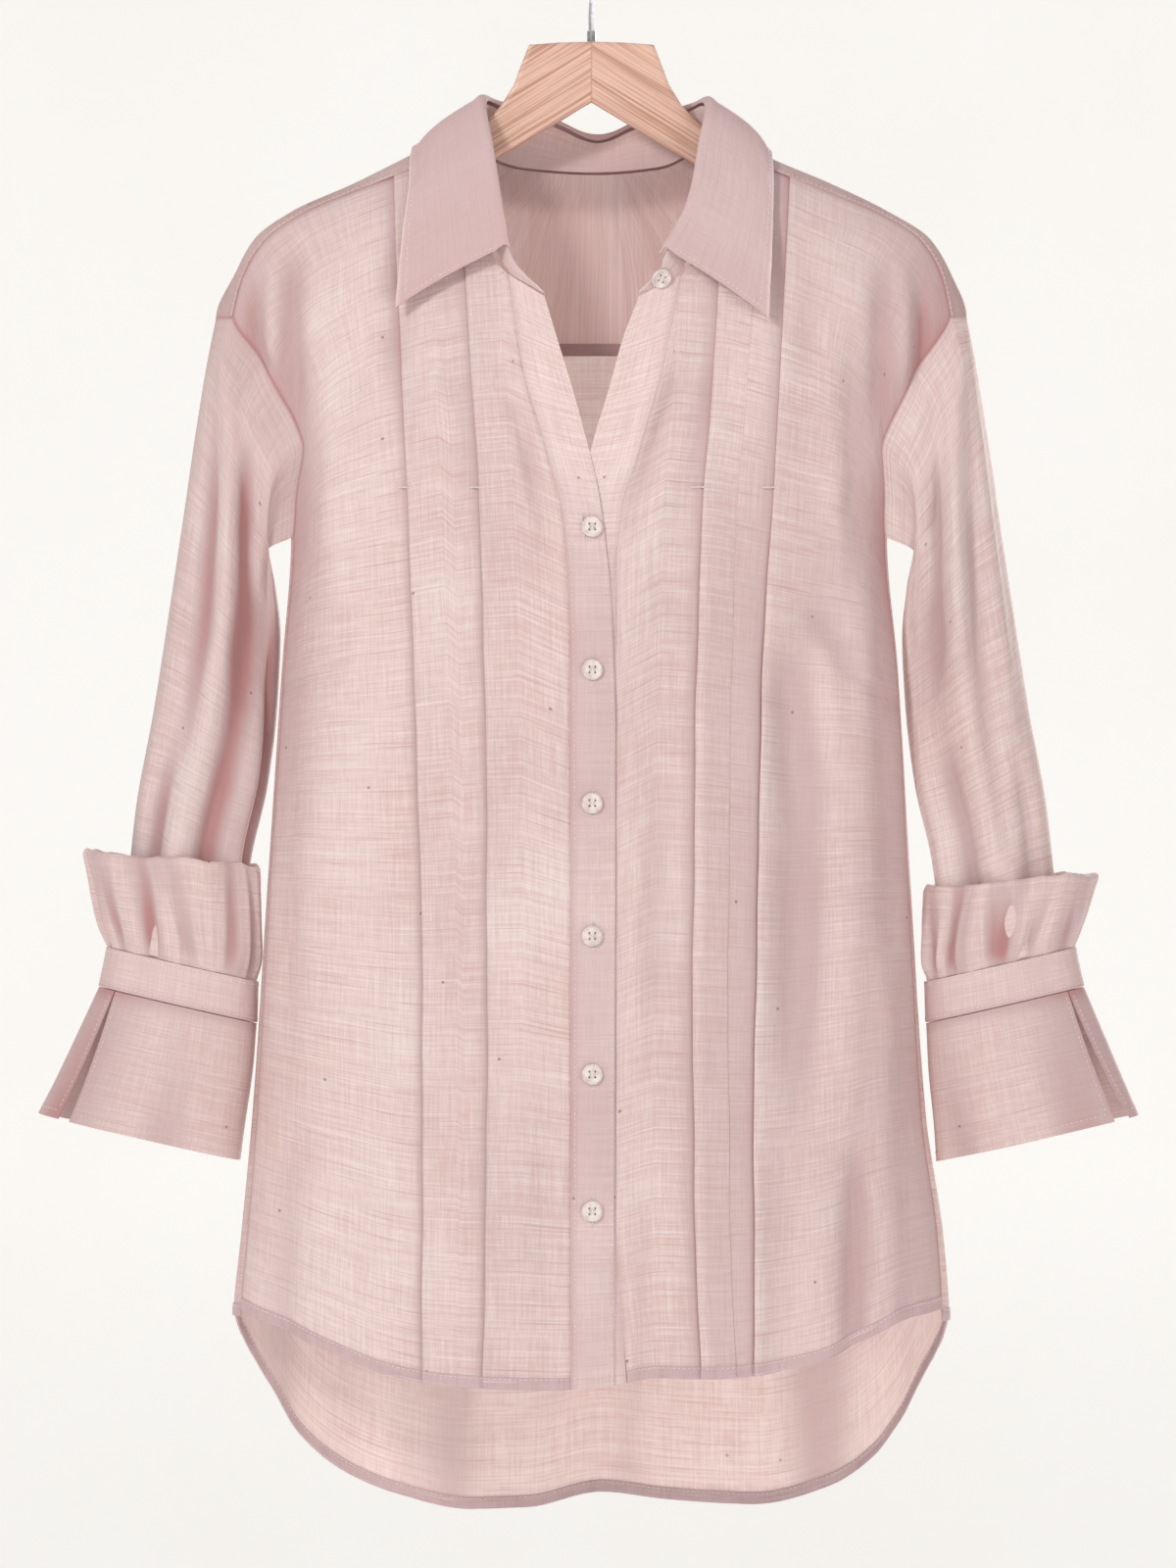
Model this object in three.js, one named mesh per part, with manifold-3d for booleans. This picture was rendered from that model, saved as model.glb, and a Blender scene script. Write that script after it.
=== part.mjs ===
// A long-sleeved blouse on a wooden hanger, hung by its hook.
// Millimetres, +Z up. The front faces -Y. Right and left are the wearer's, so right is at -X.
import * as THREE from 'three';
import { mergeVertices } from 'three/addons/utils/BufferGeometryUtils.js';
import Module from 'manifold-3d';

// Driving dimensions
const CLOTH = 1.2;
const SEAM_GAP = 0.25;
const LAYER_GAP = 0.4;
const SLEEVE_SEAM_GAP = 1.2;
const STAND_WALL = 1.2;
const HEM_WIDTH = 8;
const HEM_PROUD = 0.2;
const BUTTON_RADIUS = 6.7;
const BUTTON_THICK = 2.6;
const BUTTON_HOLE = 0.85;
const BUTTON_HOLE_SPREAD = 1.8;
const HOOK_WIRE = 1.8;
const HOOK_RADIUS = 20;
const HANGER_THICK = 10;
const HANGER_BEVEL = 2.4;
const HANGER_CENTRE_TOP = -80;
const TURN = Math.PI * 2;

// How finely each piece is divided
const ARMHOLE_ROWS = 6;
const SIDE_ROWS = 11;
const NECK_ROWS = 3;
const OVER_ROWS = 6;
const BAND_BLEND_ROWS = 4;
const BACK_COLUMNS = 16;
const PANEL_ROWS = ARMHOLE_ROWS + SIDE_ROWS;

// Half widths (left is at -X as seen) and depths of the body at each height
const BODY = [
  { z: -131, left: 74, right: 78, front: 22, back: 24 },
  { z: -152, left: 115, right: 110, front: 26, back: 28 },
  { z: -171, left: 153, right: 154, front: 31, back: 32 },
  { z: -188, left: 191, right: 189, front: 35, back: 36 },
  { z: -206, left: 216, right: 217, front: 39, back: 40 },
  { z: -229, left: 229, right: 231, front: 43, back: 44 },
  { z: -257, left: 241, right: 241, front: 47, back: 46 },
  { z: -306, left: 222, right: 222, front: 54, back: 50 },
  { z: -351, left: 199, right: 199, front: 59, back: 53 },
  { z: -397, left: 193, right: 190, front: 62, back: 56 },
  { z: -483, left: 199, right: 197, front: 65, back: 58 },
  { z: -619, left: 208, right: 205, front: 68, back: 61 },
  { z: -769, left: 218, right: 215, front: 72, back: 65 },
  { z: -844, left: 225, right: 226, front: 74, back: 67 },
  { z: -894, left: 230, right: 230, front: 76, back: 68 },
  { z: -1030, left: 234, right: 234, front: 78, back: 66 },
];

// Soft troughs (negative) and ridges of the hanging cloth: side 1 is the front, -1 the back
const FOLDS = [
  { side: 1, x: -205, z: -330, width: 22, reach: 90, rise: -5, lean: -0.25 },
  { side: 1, x: 208, z: -335, width: 22, reach: 95, rise: -5, lean: 0.25 },
  { side: 1, x: -160, z: -640, width: 34, reach: 260, rise: 4, lean: 0 },
  { side: 1, x: 138, z: -560, width: 22, reach: 210, rise: -6, lean: 0.05 },
  { side: 1, x: 172, z: -700, width: 26, reach: 250, rise: 4, lean: 0.03 },
  { side: 1, x: 172, z: -860, width: 12, reach: 90, rise: -5, lean: 0 },
  { side: 1, x: -45, z: -700, width: 20, reach: 240, rise: 2.5, lean: 0 },
  { side: 1, x: 42, z: -640, width: 16, reach: 200, rise: -2, lean: 0 },
  { side: -1, x: -120, z: -720, width: 34, reach: 280, rise: -6, lean: 0.05 },
  { side: -1, x: 20, z: -760, width: 38, reach: 300, rise: 4, lean: -0.03 },
  { side: -1, x: 130, z: -700, width: 32, reach: 290, rise: -6, lean: -0.04 },
  { side: -1, x: -60, z: -860, width: 24, reach: 180, rise: 4, lean: 0.06 },
];

// Front yoke seam from the armhole to the neck, as a half width at each height
const YOKE_SEAM = [
  { z: -257, right: 231, left: 231 },
  { z: -233, right: 225, left: 226 },
  { z: -208, right: 210, left: 212 },
  { z: -192, right: 188, left: 188 },
  { z: -173, right: 143, left: 143 },
  { z: -160, right: 108, left: 110 },
  { z: -150, right: 76, left: 80 },
];
const YOKE_FRONT_TOP = -150;
const YOKE_FRONT_END = -257;
const YOKE_BACK_SEAM = -273;

// Armhole seam: degrees in front of (or behind) the widest point at each height
const ARMHOLE_FRONT = [
  { z: -257, degrees: 16.5 },
  { z: -282, degrees: 22 },
  { z: -316, degrees: 24 },
  { z: -337, degrees: 23 },
  { z: -353, degrees: 18 },
  { z: -376, degrees: 9 },
  { z: -397, degrees: 4 },
];
const ARMHOLE_BACK = [
  { z: -273, degrees: -18 },
  { z: -300, degrees: -23 },
  { z: -330, degrees: -23 },
  { z: -353, degrees: -17 },
  { z: -376, degrees: -7 },
  { z: -397, degrees: 4 },
];
const SHOULDER_END = -256;
const UNDERARM = -397;
const SIDE_HEM = -892;
const SIDE_SEAM = [
  { z: -397, degrees: 4 },
  { z: -892, degrees: 12 },
];

// Neck seam on each front, from the yoke down to the end of the stand
const NECK_FRONT_RIGHT = [
  { z: -150, x: -76 },
  { z: -187, x: -70 },
  { z: -220, x: -62 },
  { z: -231, x: -53 },
  { z: -245, x: -30 },
];
const NECK_FRONT_LEFT = [
  { z: -150, x: 80 },
  { z: -187, x: 74 },
  { z: -218, x: 66 },
  { z: -232, x: 57 },
  { z: -246, x: 30 },
];
const BAND_TOP = -231;
const NECK_END = -245;
const HEM_MEET = -935;

// Band lines: the seam with the panel and the free edge
const RIGHT_BAND_SEAM = [
  { z: -231, x: -53 },
  { z: -294, x: -43 },
  { z: -345, x: -28 },
  { z: -395, x: -17 },
  { z: -459, x: -14 },
  { z: -700, x: -13 },
  { z: -940, x: -13 },
];
const RIGHT_BAND_EDGE = [
  { z: -245, x: -30 },
  { z: -275, x: -21 },
  { z: -319, x: -8 },
  { z: -380, x: 6 },
  { z: -446, x: 12.5 },
  { z: -520, x: 15 },
  { z: -940, x: 14 },
];
const LEFT_BAND_SEAM = [
  { z: -232, x: 57 },
  { z: -288, x: 46 },
  { z: -348, x: 29 },
  { z: -380, x: 19.5 },
  { z: -420, x: 16 },
  { z: -846, x: 16 },
  { z: -940, x: 23 },
];
const LEFT_BAND_EDGE = [
  { z: -246, x: 30 },
  { z: -272, x: 20 },
  { z: -301, x: 12 },
  { z: -346, x: -1 },
  { z: -390, x: -9 },
  { z: -440, x: -11 },
  { z: -846, x: -11.5 },
  { z: -940, x: -5 },
];

// Knife pleats: where each fold edge runs, and the width of the cloth sunk beside it
const PLEATS = {
  rightOuter: { sunk: 6, line: [{ z: -167, x: -126 }, { z: -296, x: -121 }, { z: -367, x: -117 },
    { z: -619, x: -108 }, { z: -930, x: -106 }] },
  rightInner: { sunk: 6, line: [{ z: -167, x: -84 }, { z: -296, x: -76 }, { z: -367, x: -71.5 },
    { z: -619, x: -65 }, { z: -930, x: -68 }] },
  leftInner: { sunk: 7, line: [{ z: -167, x: 86 }, { z: -319, x: 77 }, { z: -374, x: 72 },
    { z: -517, x: 67 }, { z: -806, x: 66 }, { z: -930, x: 70 }] },
  leftOuter: { sunk: 6, line: [{ z: -167, x: 128 }, { z: -319, x: 120 }, { z: -373, x: 117 },
    { z: -517, x: 109 }, { z: -806, x: 105 }, { z: -930, x: 104.5 }] },
};
const PLEAT_TACK = -367;
const PLEAT_RISE = 2.2;
const PLEAT_SINK = -1.2;
const PLEAT_STEP = 1.4;
const PLEAT_FADE = 20;
const PLEAT_MARGIN = 12;

// Hem heights across the garment
const HEM_FRONT = [
  { x: -224, z: -893 }, { x: -199, z: -904 }, { x: -165, z: -919 }, { x: -131, z: -932 },
  { x: -104, z: -938 }, { x: -68, z: -941 }, { x: -27, z: -942 }, { x: 13, z: -939 },
  { x: 42, z: -934 }, { x: 75, z: -935 }, { x: 105, z: -933 }, { x: 127, z: -929 },
  { x: 153, z: -922 }, { x: 172, z: -913 }, { x: 196, z: -899 }, { x: 225, z: -892 },
];
const HEM_BACK = [
  { x: -229, z: -897 }, { x: -220, z: -921 }, { x: -206, z: -948 }, { x: -192, z: -971 },
  { x: -164, z: -997 }, { x: -125, z: -1015 }, { x: -77, z: -1025 }, { x: -40, z: -1024 },
  { x: 7, z: -1014 }, { x: 50, z: -1019 }, { x: 102, z: -1022 }, { x: 153, z: -1010 },
  { x: 182, z: -990 }, { x: 195, z: -971 }, { x: 213, z: -938 }, { x: 229, z: -900 },
];

// Buttons on the closed bands, and the one on the stand
const BUTTON_HEIGHTS = [-392.5, -483.5, -568.5, -653, -741, -828];
const BUTTON_LINE = 0.5;
const STAND_BUTTON_COLUMN = 1;

// Collar stations from the wearer's right front, round the back, to the left front
const COLLAR = [
  { fold: [-52, -52, -214], edge: [-125, -49, -252], bulge: 3 },
  { fold: [-57, -45, -186], edge: [-122, -43, -214], bulge: 5 },
  { fold: [-64, -27, -143], edge: [-117, -28, -176], bulge: 6 },
  { fold: [-68, -6, -117], edge: [-115, -6, -150], bulge: 6 },
  { fold: [-58, 20, -118], edge: [-104, 31, -165], bulge: 6 },
  { fold: [-24, 36, -128], edge: [-44, 47, -184], bulge: 6 },
  { fold: [4, 40, -139], edge: [4, 50, -188], bulge: 5 },
  { fold: [30, 36, -129], edge: [48, 47, -184], bulge: 6 },
  { fold: [62, 20, -120], edge: [106, 31, -165], bulge: 6 },
  { fold: [73, -6, -118], edge: [115, -6, -152], bulge: 6 },
  { fold: [69, -27, -145], edge: [116, -28, -178], bulge: 6 },
  { fold: [61, -45, -184], edge: [116, -43, -216], bulge: 5 },
  { fold: [44, -54, -216], edge: [114, -50, -259], bulge: 3 },
];
const COLLAR_COLUMNS = 24;
const COLLAR_ROWS = 5;
const COLLAR_CLEAR = 4.6;
const ROLL = 4.3;
const STAND_TOP_DROP = 5;
const STAND_FOOT_GAP = 4;
const STAND_INSET = 0.8;
const STAND_TIP = 0.12;

// Sleeve sections: outer and inner point (half widths from the middle), heights and depths
const SLEEVE = [
  { outer: 241, outerZ: -256, inner: 193, innerZ: -397, centre: 2, front: 22, back: 22, sink: 0 },
  { outer: 247, outerZ: -287, inner: 211, innerZ: -408, centre: 5, front: 32, back: 28, sink: 0.1 },
  { outer: 254, outerZ: -330, inner: 203, innerZ: -432, centre: 13, front: 36, back: 32, sink: 0.5 },
  { outer: 262, outerZ: -385, inner: 200, innerZ: -462, centre: 16, front: 37, back: 34, sink: 0.6 },
  { outer: 271, outerZ: -444, inner: 202, innerZ: -505, centre: 17, front: 36, back: 34, sink: 0.45 },
  { outer: 281, outerZ: -509, inner: 208, innerZ: -556, centre: 13, front: 34, back: 33, sink: 0.2 },
  { outer: 292, outerZ: -570, inner: 219, innerZ: -606, centre: 7, front: 32, back: 31, sink: 0 },
  { outer: 298, outerZ: -622, inner: 223.5, innerZ: -648, centre: 5, front: 28, back: 28, sink: 0 },
  { outer: 306.8, outerZ: -659.5, inner: 218.4, innerZ: -680.5, centre: 5, front: 23.6, back: 23.6, sink: 0 },
];
const SLEEVE_RINGS = 13;
const SLEEVE_BLEND = 0.3;

// The sleeve's end: slanted oval rings, each with its middle, its tilt in degrees and half sizes
const CUFF_MIDDLE = 5;
const PUFF = [
  { x: 262.5, z: -671.5, tilt: 13, across: 48.4, depth: 26.6, gather: 0.6 },
  { x: 263, z: -659, tilt: 12, across: 51, depth: 30, gather: 2.2 },
  { x: 265, z: -640, tilt: 9, across: 53, depth: 34, gather: 1.8 },
  { x: 267, z: -619, tilt: 6, across: 54.5, depth: 38, gather: 1 },
  { x: 268.5, z: -606, tilt: 5, across: 55.5, depth: 40, gather: 0.6 },
  { x: 268.5, z: -604, tilt: 5, across: 53.8, depth: 38.3, gather: 0.6 },
  { x: 268.5, z: -607, tilt: 5, across: 52.2, depth: 36.7, gather: 0.6 },
  { x: 268.5, z: -620, tilt: 5, across: 51.2, depth: 35.7, gather: 0.5 },
];
const PUFF_SETTLE = { right: 0, left: 14 };
const PUFF_WAVES = 13;
const PUFF_COLUMNS = 52;
const CUFF_BAND = [
  { x: 262.5, z: -672, tilt: 13, across: 49, depth: 27 },
  { x: 265.5, z: -697.5, tilt: 13, across: 51.5, depth: 28.5 },
];
const CUFF_FLARE = [
  { x: 265.6, z: -698.3, tilt: 13, across: 51.5, depth: 28.5, open: 1 },
  { x: 273, z: -728, tilt: 13, across: 57, depth: 34, open: 6 },
  { x: 282, z: -760, tilt: 13, across: 62, depth: 39, open: 10 },
  { x: 288.5, z: -783, tilt: 13, across: 66, depth: 42, open: 13 },
];
const VENT_ANGLE = THREE.MathUtils.degToRad(38);
const CUFF_COLUMNS = 26;

// Hanger outline to the right of its middle, from the top down to the arm's end and back
const HANGER_TOP = [
  { x: 0, z: -80 }, { x: 21, z: -80.6 }, { x: 40, z: -82 }, { x: 44, z: -92 }, { x: 50, z: -108 },
  { x: 58, z: -121 }, { x: 66, z: -129.5 },
];
const HANGER_ARM = { startX: 76, endX: 186, slope: 0.475, startZ: -138.5, endDepth: 15, startDepth: 26 };
const HANGER_APEX = -119;

const wood = { color: 0xd9a58c, roughness: 0.55, metalness: 0 };
const steel = { color: 0x8d8f94, roughness: 0.3, metalness: 1 };
const pink = { color: 0xe3c8c5, roughness: 0.85, metalness: 0 };
const mauve = { color: 0xcba6ac, roughness: 0.85, metalness: 0 };
const pearl = { color: 0xefe6df, roughness: 0.35, metalness: 0 };

/** A smooth curve with no overshoot through one column of a table, read at any key. */
function through(rows, key, name) {
  const knots = [...rows].sort((p, q) => p[key] - q[key]);
  const at = knots.map((row) => row[key]);
  const value = knots.map((row) => row[name]);
  const last = at.length - 1;
  const slope = at.slice(1).map((next, i) => (value[i + 1] - value[i]) / (next - at[i]));
  const tangent = at.map((_, i) => {
    if (i === 0) return slope[0];
    if (i === last) return slope[last - 1];
    if (slope[i - 1] * slope[i] <= 0) return 0;
    return 2 / (1 / slope[i - 1] + 1 / slope[i]);
  });
  return (where) => {
    const t = THREE.MathUtils.clamp(where, at[0], at[last]);
    let i = 0;
    while (i < last - 1 && t > at[i + 1]) i += 1;
    const span = at[i + 1] - at[i];
    const f = (t - at[i]) / span;
    const g = 1 - f;
    return (1 + 2 * f) * g * g * value[i] + f * g * g * span * tangent[i]
      + f * f * (3 - 2 * f) * value[i + 1] - f * f * g * span * tangent[i + 1];
  };
}

const { lerp, smoothstep, degToRad } = THREE.MathUtils;
const bodyLeft = through(BODY, 'z', 'left');
const bodyRight = through(BODY, 'z', 'right');
const bodyFront = through(BODY, 'z', 'front');
const bodyBack = through(BODY, 'z', 'back');
const middleAt = (z) => (bodyRight(z) - bodyLeft(z)) / 2;
const halfAt = (z) => (bodyRight(z) + bodyLeft(z)) / 2;

/** The x of a place on the body. Turn 0 is at +X, a quarter is the front, a half is at -X. */
const xAt = (turn, z) => middleAt(z) + halfAt(z) * Math.cos(turn);

/** The turn of the place on the front (side 1) or back (side -1) at a given x and height. */
function turnAt(x, z, side) {
  const cosine = THREE.MathUtils.clamp((x - middleAt(z)) / halfAt(z), -1, 1);
  return side > 0 ? Math.acos(cosine) : TURN - Math.acos(cosine);
}

/** How far the large folds lift the cloth off the plain body form. */
function foldRise(x, z, side) {
  return FOLDS.filter((fold) => fold.side === side).reduce((sum, fold) => {
    const down = (z - fold.z) / fold.reach;
    const across = (x - fold.x - fold.lean * (z - fold.z)) / fold.width;
    return sum + fold.rise * Math.exp(-across * across - down * down);
  }, 0);
}

/** A point on the body form, lifted outward by a distance. */
function skin(turn, z, lift) {
  const plain = (t, height) => {
    const sine = Math.sin(t);
    const depth = sine > 0 ? bodyFront(height) : bodyBack(height);
    return new THREE.Vector3(xAt(t, height), -depth * sine, height);
  };
  const step = 0.5;
  const bend = 0.002;
  const here = plain(turn, z);
  const round = plain(turn + bend, z).sub(plain(turn - bend, z));
  const down = plain(turn, z - step).sub(plain(turn, z + step));
  const outward = new THREE.Vector3().crossVectors(round, down).normalize();
  const side = Math.sin(turn) > 0 ? 1 : -1;
  const away = Math.min(1, Math.abs(Math.sin(turn)) * 2);
  return here.addScaledVector(outward, lift + foldRise(here.x, z, side) * away);
}

/** Moves the rim points of a grid in from its seams, on the edges that are named. */
function drawIn(grid, edges, gap) {
  const rows = grid.length;
  const columns = grid[0].length;
  const still = grid.map((row) => row.map((p) => p.clone()));
  const near = (k, count) => THREE.MathUtils.clamp(k, 0, count - 1);
  const pull = (point, toward, before, after) => {
    const along = after.clone().sub(before).normalize();
    const way = toward.clone().sub(point);
    way.addScaledVector(along, -way.dot(along)).normalize();
    point.addScaledVector(way, gap);
  };
  const pullRow = (i, next) => grid[i].forEach((point, j) => {
    pull(point, still[next][j], still[i][near(j - 1, columns)], still[i][near(j + 1, columns)]);
  });
  const pullColumn = (j, next) => grid.forEach((row, i) => {
    pull(row[j], still[i][next], still[near(i - 1, rows)][j], still[near(i + 1, rows)][j]);
  });
  if (edges.includes('top')) pullRow(0, 1);
  if (edges.includes('bottom')) pullRow(rows - 1, rows - 2);
  if (edges.includes('start')) pullColumn(0, 1);
  if (edges.includes('end')) pullColumn(columns - 1, columns - 2);
}

/** A closed wall between two grids of points. A round one joins its last column to its first. */
function wall(outer, inner, round = false) {
  const rows = outer.length;
  const columns = outer[0].length;
  const positions = [];
  [outer, inner].forEach((grid) => grid.forEach((row) => row.forEach((p) => positions.push(p.x, p.y, p.z))));
  const index = [];
  const at = (face, i, j) => face * rows * columns + i * columns + (j % columns);
  const quad = (a, b, c, d) => index.push(a, b, c, a, c, d);
  const spans = round ? columns : columns - 1;
  for (let i = 0; i < rows - 1; i += 1) {
    for (let j = 0; j < spans; j += 1) {
      quad(at(0, i, j), at(0, i + 1, j), at(0, i + 1, j + 1), at(0, i, j + 1));
      quad(at(1, i, j), at(1, i, j + 1), at(1, i + 1, j + 1), at(1, i + 1, j));
    }
  }
  for (let j = 0; j < spans; j += 1) {
    quad(at(0, 0, j), at(0, 0, j + 1), at(1, 0, j + 1), at(1, 0, j));
    quad(at(0, rows - 1, j), at(1, rows - 1, j), at(1, rows - 1, j + 1), at(0, rows - 1, j + 1));
  }
  if (!round) {
    for (let i = 0; i < rows - 1; i += 1) {
      quad(at(0, i, 0), at(1, i, 0), at(1, i + 1, 0), at(0, i + 1, 0));
      quad(at(0, i, columns - 1), at(0, i + 1, columns - 1), at(1, i + 1, columns - 1), at(1, i, columns - 1));
    }
  }
  const geometry = new THREE.BufferGeometry();
  geometry.setAttribute('position', new THREE.Float32BufferAttribute(positions, 3));
  geometry.setIndex(volumeOf(positions, index) < 0 ? index.reverse() : index);
  return geometry;
}

/** Six times the signed volume inside a closed set of triangles. */
function volumeOf(positions, index) {
  const corner = (k) => new THREE.Vector3().fromArray(positions, index[k] * 3);
  let sum = 0;
  for (let k = 0; k < index.length; k += 3) {
    sum += corner(k).dot(corner(k + 1).cross(corner(k + 2)));
  }
  return sum;
}

/** Unit normals of a grid, from its neighbouring points. */
function normalsOf(grid, round = false) {
  const rows = grid.length;
  const columns = grid[0].length;
  const near = (k, count) => (round ? (k + count) % count : THREE.MathUtils.clamp(k, 0, count - 1));
  return grid.map((row, i) => row.map((_, j) => {
    const across = grid[i][near(j + 1, columns)].clone().sub(grid[i][near(j - 1, columns)]);
    const down = grid[Math.min(i + 1, rows - 1)][j].clone().sub(grid[Math.max(i - 1, 0)][j]);
    return across.cross(down).normalize();
  }));
}

/** A wall of one thickness on the far side of a grid's normals. */
function thicken(grid, thickness, round = false) {
  const normals = normalsOf(grid, round);
  const inner = grid.map((row, i) => row.map((p, j) => p.clone().addScaledVector(normals[i][j], -thickness)));
  return wall(grid, inner, round);
}

/** A wall on the body form: each place holds a turn, a height and a lift. */
function bodyWall(places, thickness, edges) {
  const outer = places.map((row) => row.map((p) => skin(p.turn, p.z, p.lift)));
  const inner = places.map((row) => row.map((p) => skin(p.turn, p.z, p.lift - thickness)));
  drawIn(outer, edges, SEAM_GAP);
  drawIn(inner, edges, SEAM_GAP);
  return wall(outer, inner);
}

const stops = (count) => Array.from({ length: count + 1 }, (_, i) => i / count);
const mix = (p, q, f) => ({
  turn: lerp(p.turn, q.turn, f), z: lerp(p.z, q.z, f), lift: lerp(p.lift ?? 0, q.lift ?? 0, f),
});

/** The turn of a line at the body's side: name is the side at -X (right) or +X (left). */
function sideTurn(degrees, name) {
  return name === 'right' ? Math.PI - degToRad(degrees) : degToRad(degrees);
}

/** Places down the armhole and side seam, on the front or the back face of it. */
function sideLine(name, armhole) {
  const armholeDegrees = through(armhole, 'z', 'degrees');
  const sideDegrees = through(SIDE_SEAM, 'z', 'degrees');
  const top = armhole[0].z;
  const down = stops(ARMHOLE_ROWS).map((f) => lerp(top, UNDERARM, f));
  const below = stops(SIDE_ROWS).slice(1).map((f) => lerp(UNDERARM, SIDE_HEM, f));
  const wrap = (turn) => (armhole === ARMHOLE_BACK && turn < Math.PI / 2 ? turn + TURN : turn);
  return [
    ...down.map((z) => ({ turn: wrap(sideTurn(armholeDegrees(z), name)), z, lift: 0 })),
    ...below.map((z) => ({ turn: wrap(sideTurn(sideDegrees(z), name)), z, lift: 0 })),
  ];
}

const yokeSeamTurn = (name) => {
  const half = through(YOKE_SEAM, 'z', name);
  return (z) => turnAt(name === 'right' ? -half(z) : half(z), z, 1);
};

/** Hem height at a turn, on the front or the back. */
function hemAt(table, side) {
  const rows = table.map(({ x, z }) => ({ turn: turnAt(x, z, side), z }));
  return through(rows, 'turn', 'z');
}
const frontHem = hemAt(HEM_FRONT, 1);
const backHem = hemAt(HEM_BACK, -1);

/** Places down the neck seam and then the band seam, in as many rows as the side line. */
function bandSeamLine(neck, seam) {
  const neckX = through(neck, 'z', 'x');
  const seamX = through(seam, 'z', 'x');
  const neckPart = stops(NECK_ROWS).map((f) => lerp(YOKE_FRONT_TOP, BAND_TOP, f));
  const bottom = frontHem(turnAt(seamX(HEM_MEET), HEM_MEET, 1));
  const seamPart = stops(PANEL_ROWS - NECK_ROWS).slice(1).map((f) => lerp(BAND_TOP, bottom, f));
  return [
    ...neckPart.map((z) => ({ turn: turnAt(neckX(z), z, 1), z, lift: 0 })),
    ...seamPart.map((z) => ({ turn: turnAt(seamX(z), z, 1), z, lift: 0 })),
  ];
}

/** One line of a pleat, shifted sideways, from the yoke seam to the hem. */
function pleatLine(pleat, name, shift, liftOpen, fractions) {
  const drawn = through(pleat.line, 'z', 'x');
  const neckX = through(name === 'right' ? NECK_FRONT_RIGHT : NECK_FRONT_LEFT, 'z', 'x');
  const margin = name === 'right' ? PLEAT_MARGIN - 0.45 * shift : PLEAT_MARGIN + 0.3 * shift;
  const lineX = (z) => (name === 'right' ? Math.min(drawn(z), neckX(z) - margin - shift)
    : Math.max(drawn(z), neckX(z) + margin - shift));
  const half = through(YOKE_SEAM, 'z', name);
  const sign = name === 'right' ? -1 : 1;
  let high = YOKE_FRONT_TOP;
  let low = YOKE_FRONT_END;
  for (let k = 0; k < 30; k += 1) {
    const z = (high + low) / 2;
    if (half(z) > sign * (lineX(z) + shift)) low = z;
    else high = z;
  }
  const top = (high + low) / 2;
  const bottom = frontHem(turnAt(lineX(HEM_MEET) + shift, HEM_MEET, 1));
  return fractions.map((f, i) => {
    const z = lerp(top, bottom, f);
    const open = 0.55 + 0.45 * smoothstep(-z, -PLEAT_TACK - 10, -PLEAT_TACK + 60);
    return { turn: turnAt(lineX(z) + shift, z, 1), z, lift: i === 0 ? 0 : liftOpen * open };
  });
}

const fractionsOf = (line) => line.map((p) => (line[0].z - p.z) / (line[0].z - line[line.length - 1].z));
const spread = (a, b, f) => a.map((value, i) => lerp(value, b[i], f));

/** Joins neighbouring lines of places into one grid, with extra columns between them. */
function loft(lines, divisions) {
  return lines[0].map((_, i) => {
    const row = [{ ...lines[0][i] }];
    divisions.forEach((count, k) => {
      stops(count).slice(1).forEach((f) => row.push(mix(lines[k][i], lines[k + 1][i], f)));
    });
    return row;
  });
}

const FRONT_DIVISIONS = [5, 1, 1, 1, 1, 1, 1, 1, 2];

/** The grid of a front panel, from the viewer's left to its right. */
function frontPlaces(name) {
  const isRight = name === 'right';
  const side = sideLine(name, ARMHOLE_FRONT);
  const band = isRight ? bandSeamLine(NECK_FRONT_RIGHT, RIGHT_BAND_SEAM)
    : bandSeamLine(NECK_FRONT_LEFT, LEFT_BAND_SEAM);
  const first = isRight ? PLEATS.rightOuter : PLEATS.leftInner;
  const second = isRight ? PLEATS.rightInner : PLEATS.leftOuter;
  const sideParts = fractionsOf(side);
  const bandParts = fractionsOf(band);
  const line = (pleat, shift, lift, toBand) => (
    pleatLine(pleat, name, shift, lift, spread(sideParts, bandParts, toBand)));
  const near = isRight ? 0.55 : 0.7;
  const far = isRight ? 0.7 : 0.55;
  const lines = [
    isRight ? side : band,
    line(first, -first.sunk, 0, near),
    line(first, -PLEAT_STEP, PLEAT_SINK, near),
    line(first, 0, PLEAT_RISE, near),
    line(first, PLEAT_FADE, 0, near),
    line(second, -second.sunk, 0, far),
    line(second, -PLEAT_STEP, PLEAT_SINK, far),
    line(second, 0, PLEAT_RISE, far),
    line(second, PLEAT_FADE, 0, far),
    isRight ? band : side,
  ];
  const divisions = isRight ? FRONT_DIVISIONS : [...FRONT_DIVISIONS].reverse();
  const places = loft(lines, divisions);
  const seamTurn = yokeSeamTurn(name);
  const shifts = places[0].map((p, j) => (j > 0 && j < places[0].length - 1 ? seamTurn(p.z) - p.turn : 0));
  places.forEach((row, i) => row.forEach((p, j) => {
    p.turn += shifts[j] * (1 - i / PANEL_ROWS) ** 3;
  }));
  places[places.length - 1].forEach((p) => { p.z = frontHem(p.turn); });
  return places;
}

const frontRight = frontPlaces('right');
const frontLeft = frontPlaces('left');

/** Raises the bottom row of a panel by the hem's width, where the hem is its own piece. */
function aboveHem(places) {
  const rows = places.map((row) => row.map((p) => ({ ...p })));
  const last = rows.length - 1;
  rows[last].forEach((p) => { p.z += HEM_WIDTH; });
  return rows;
}

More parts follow.
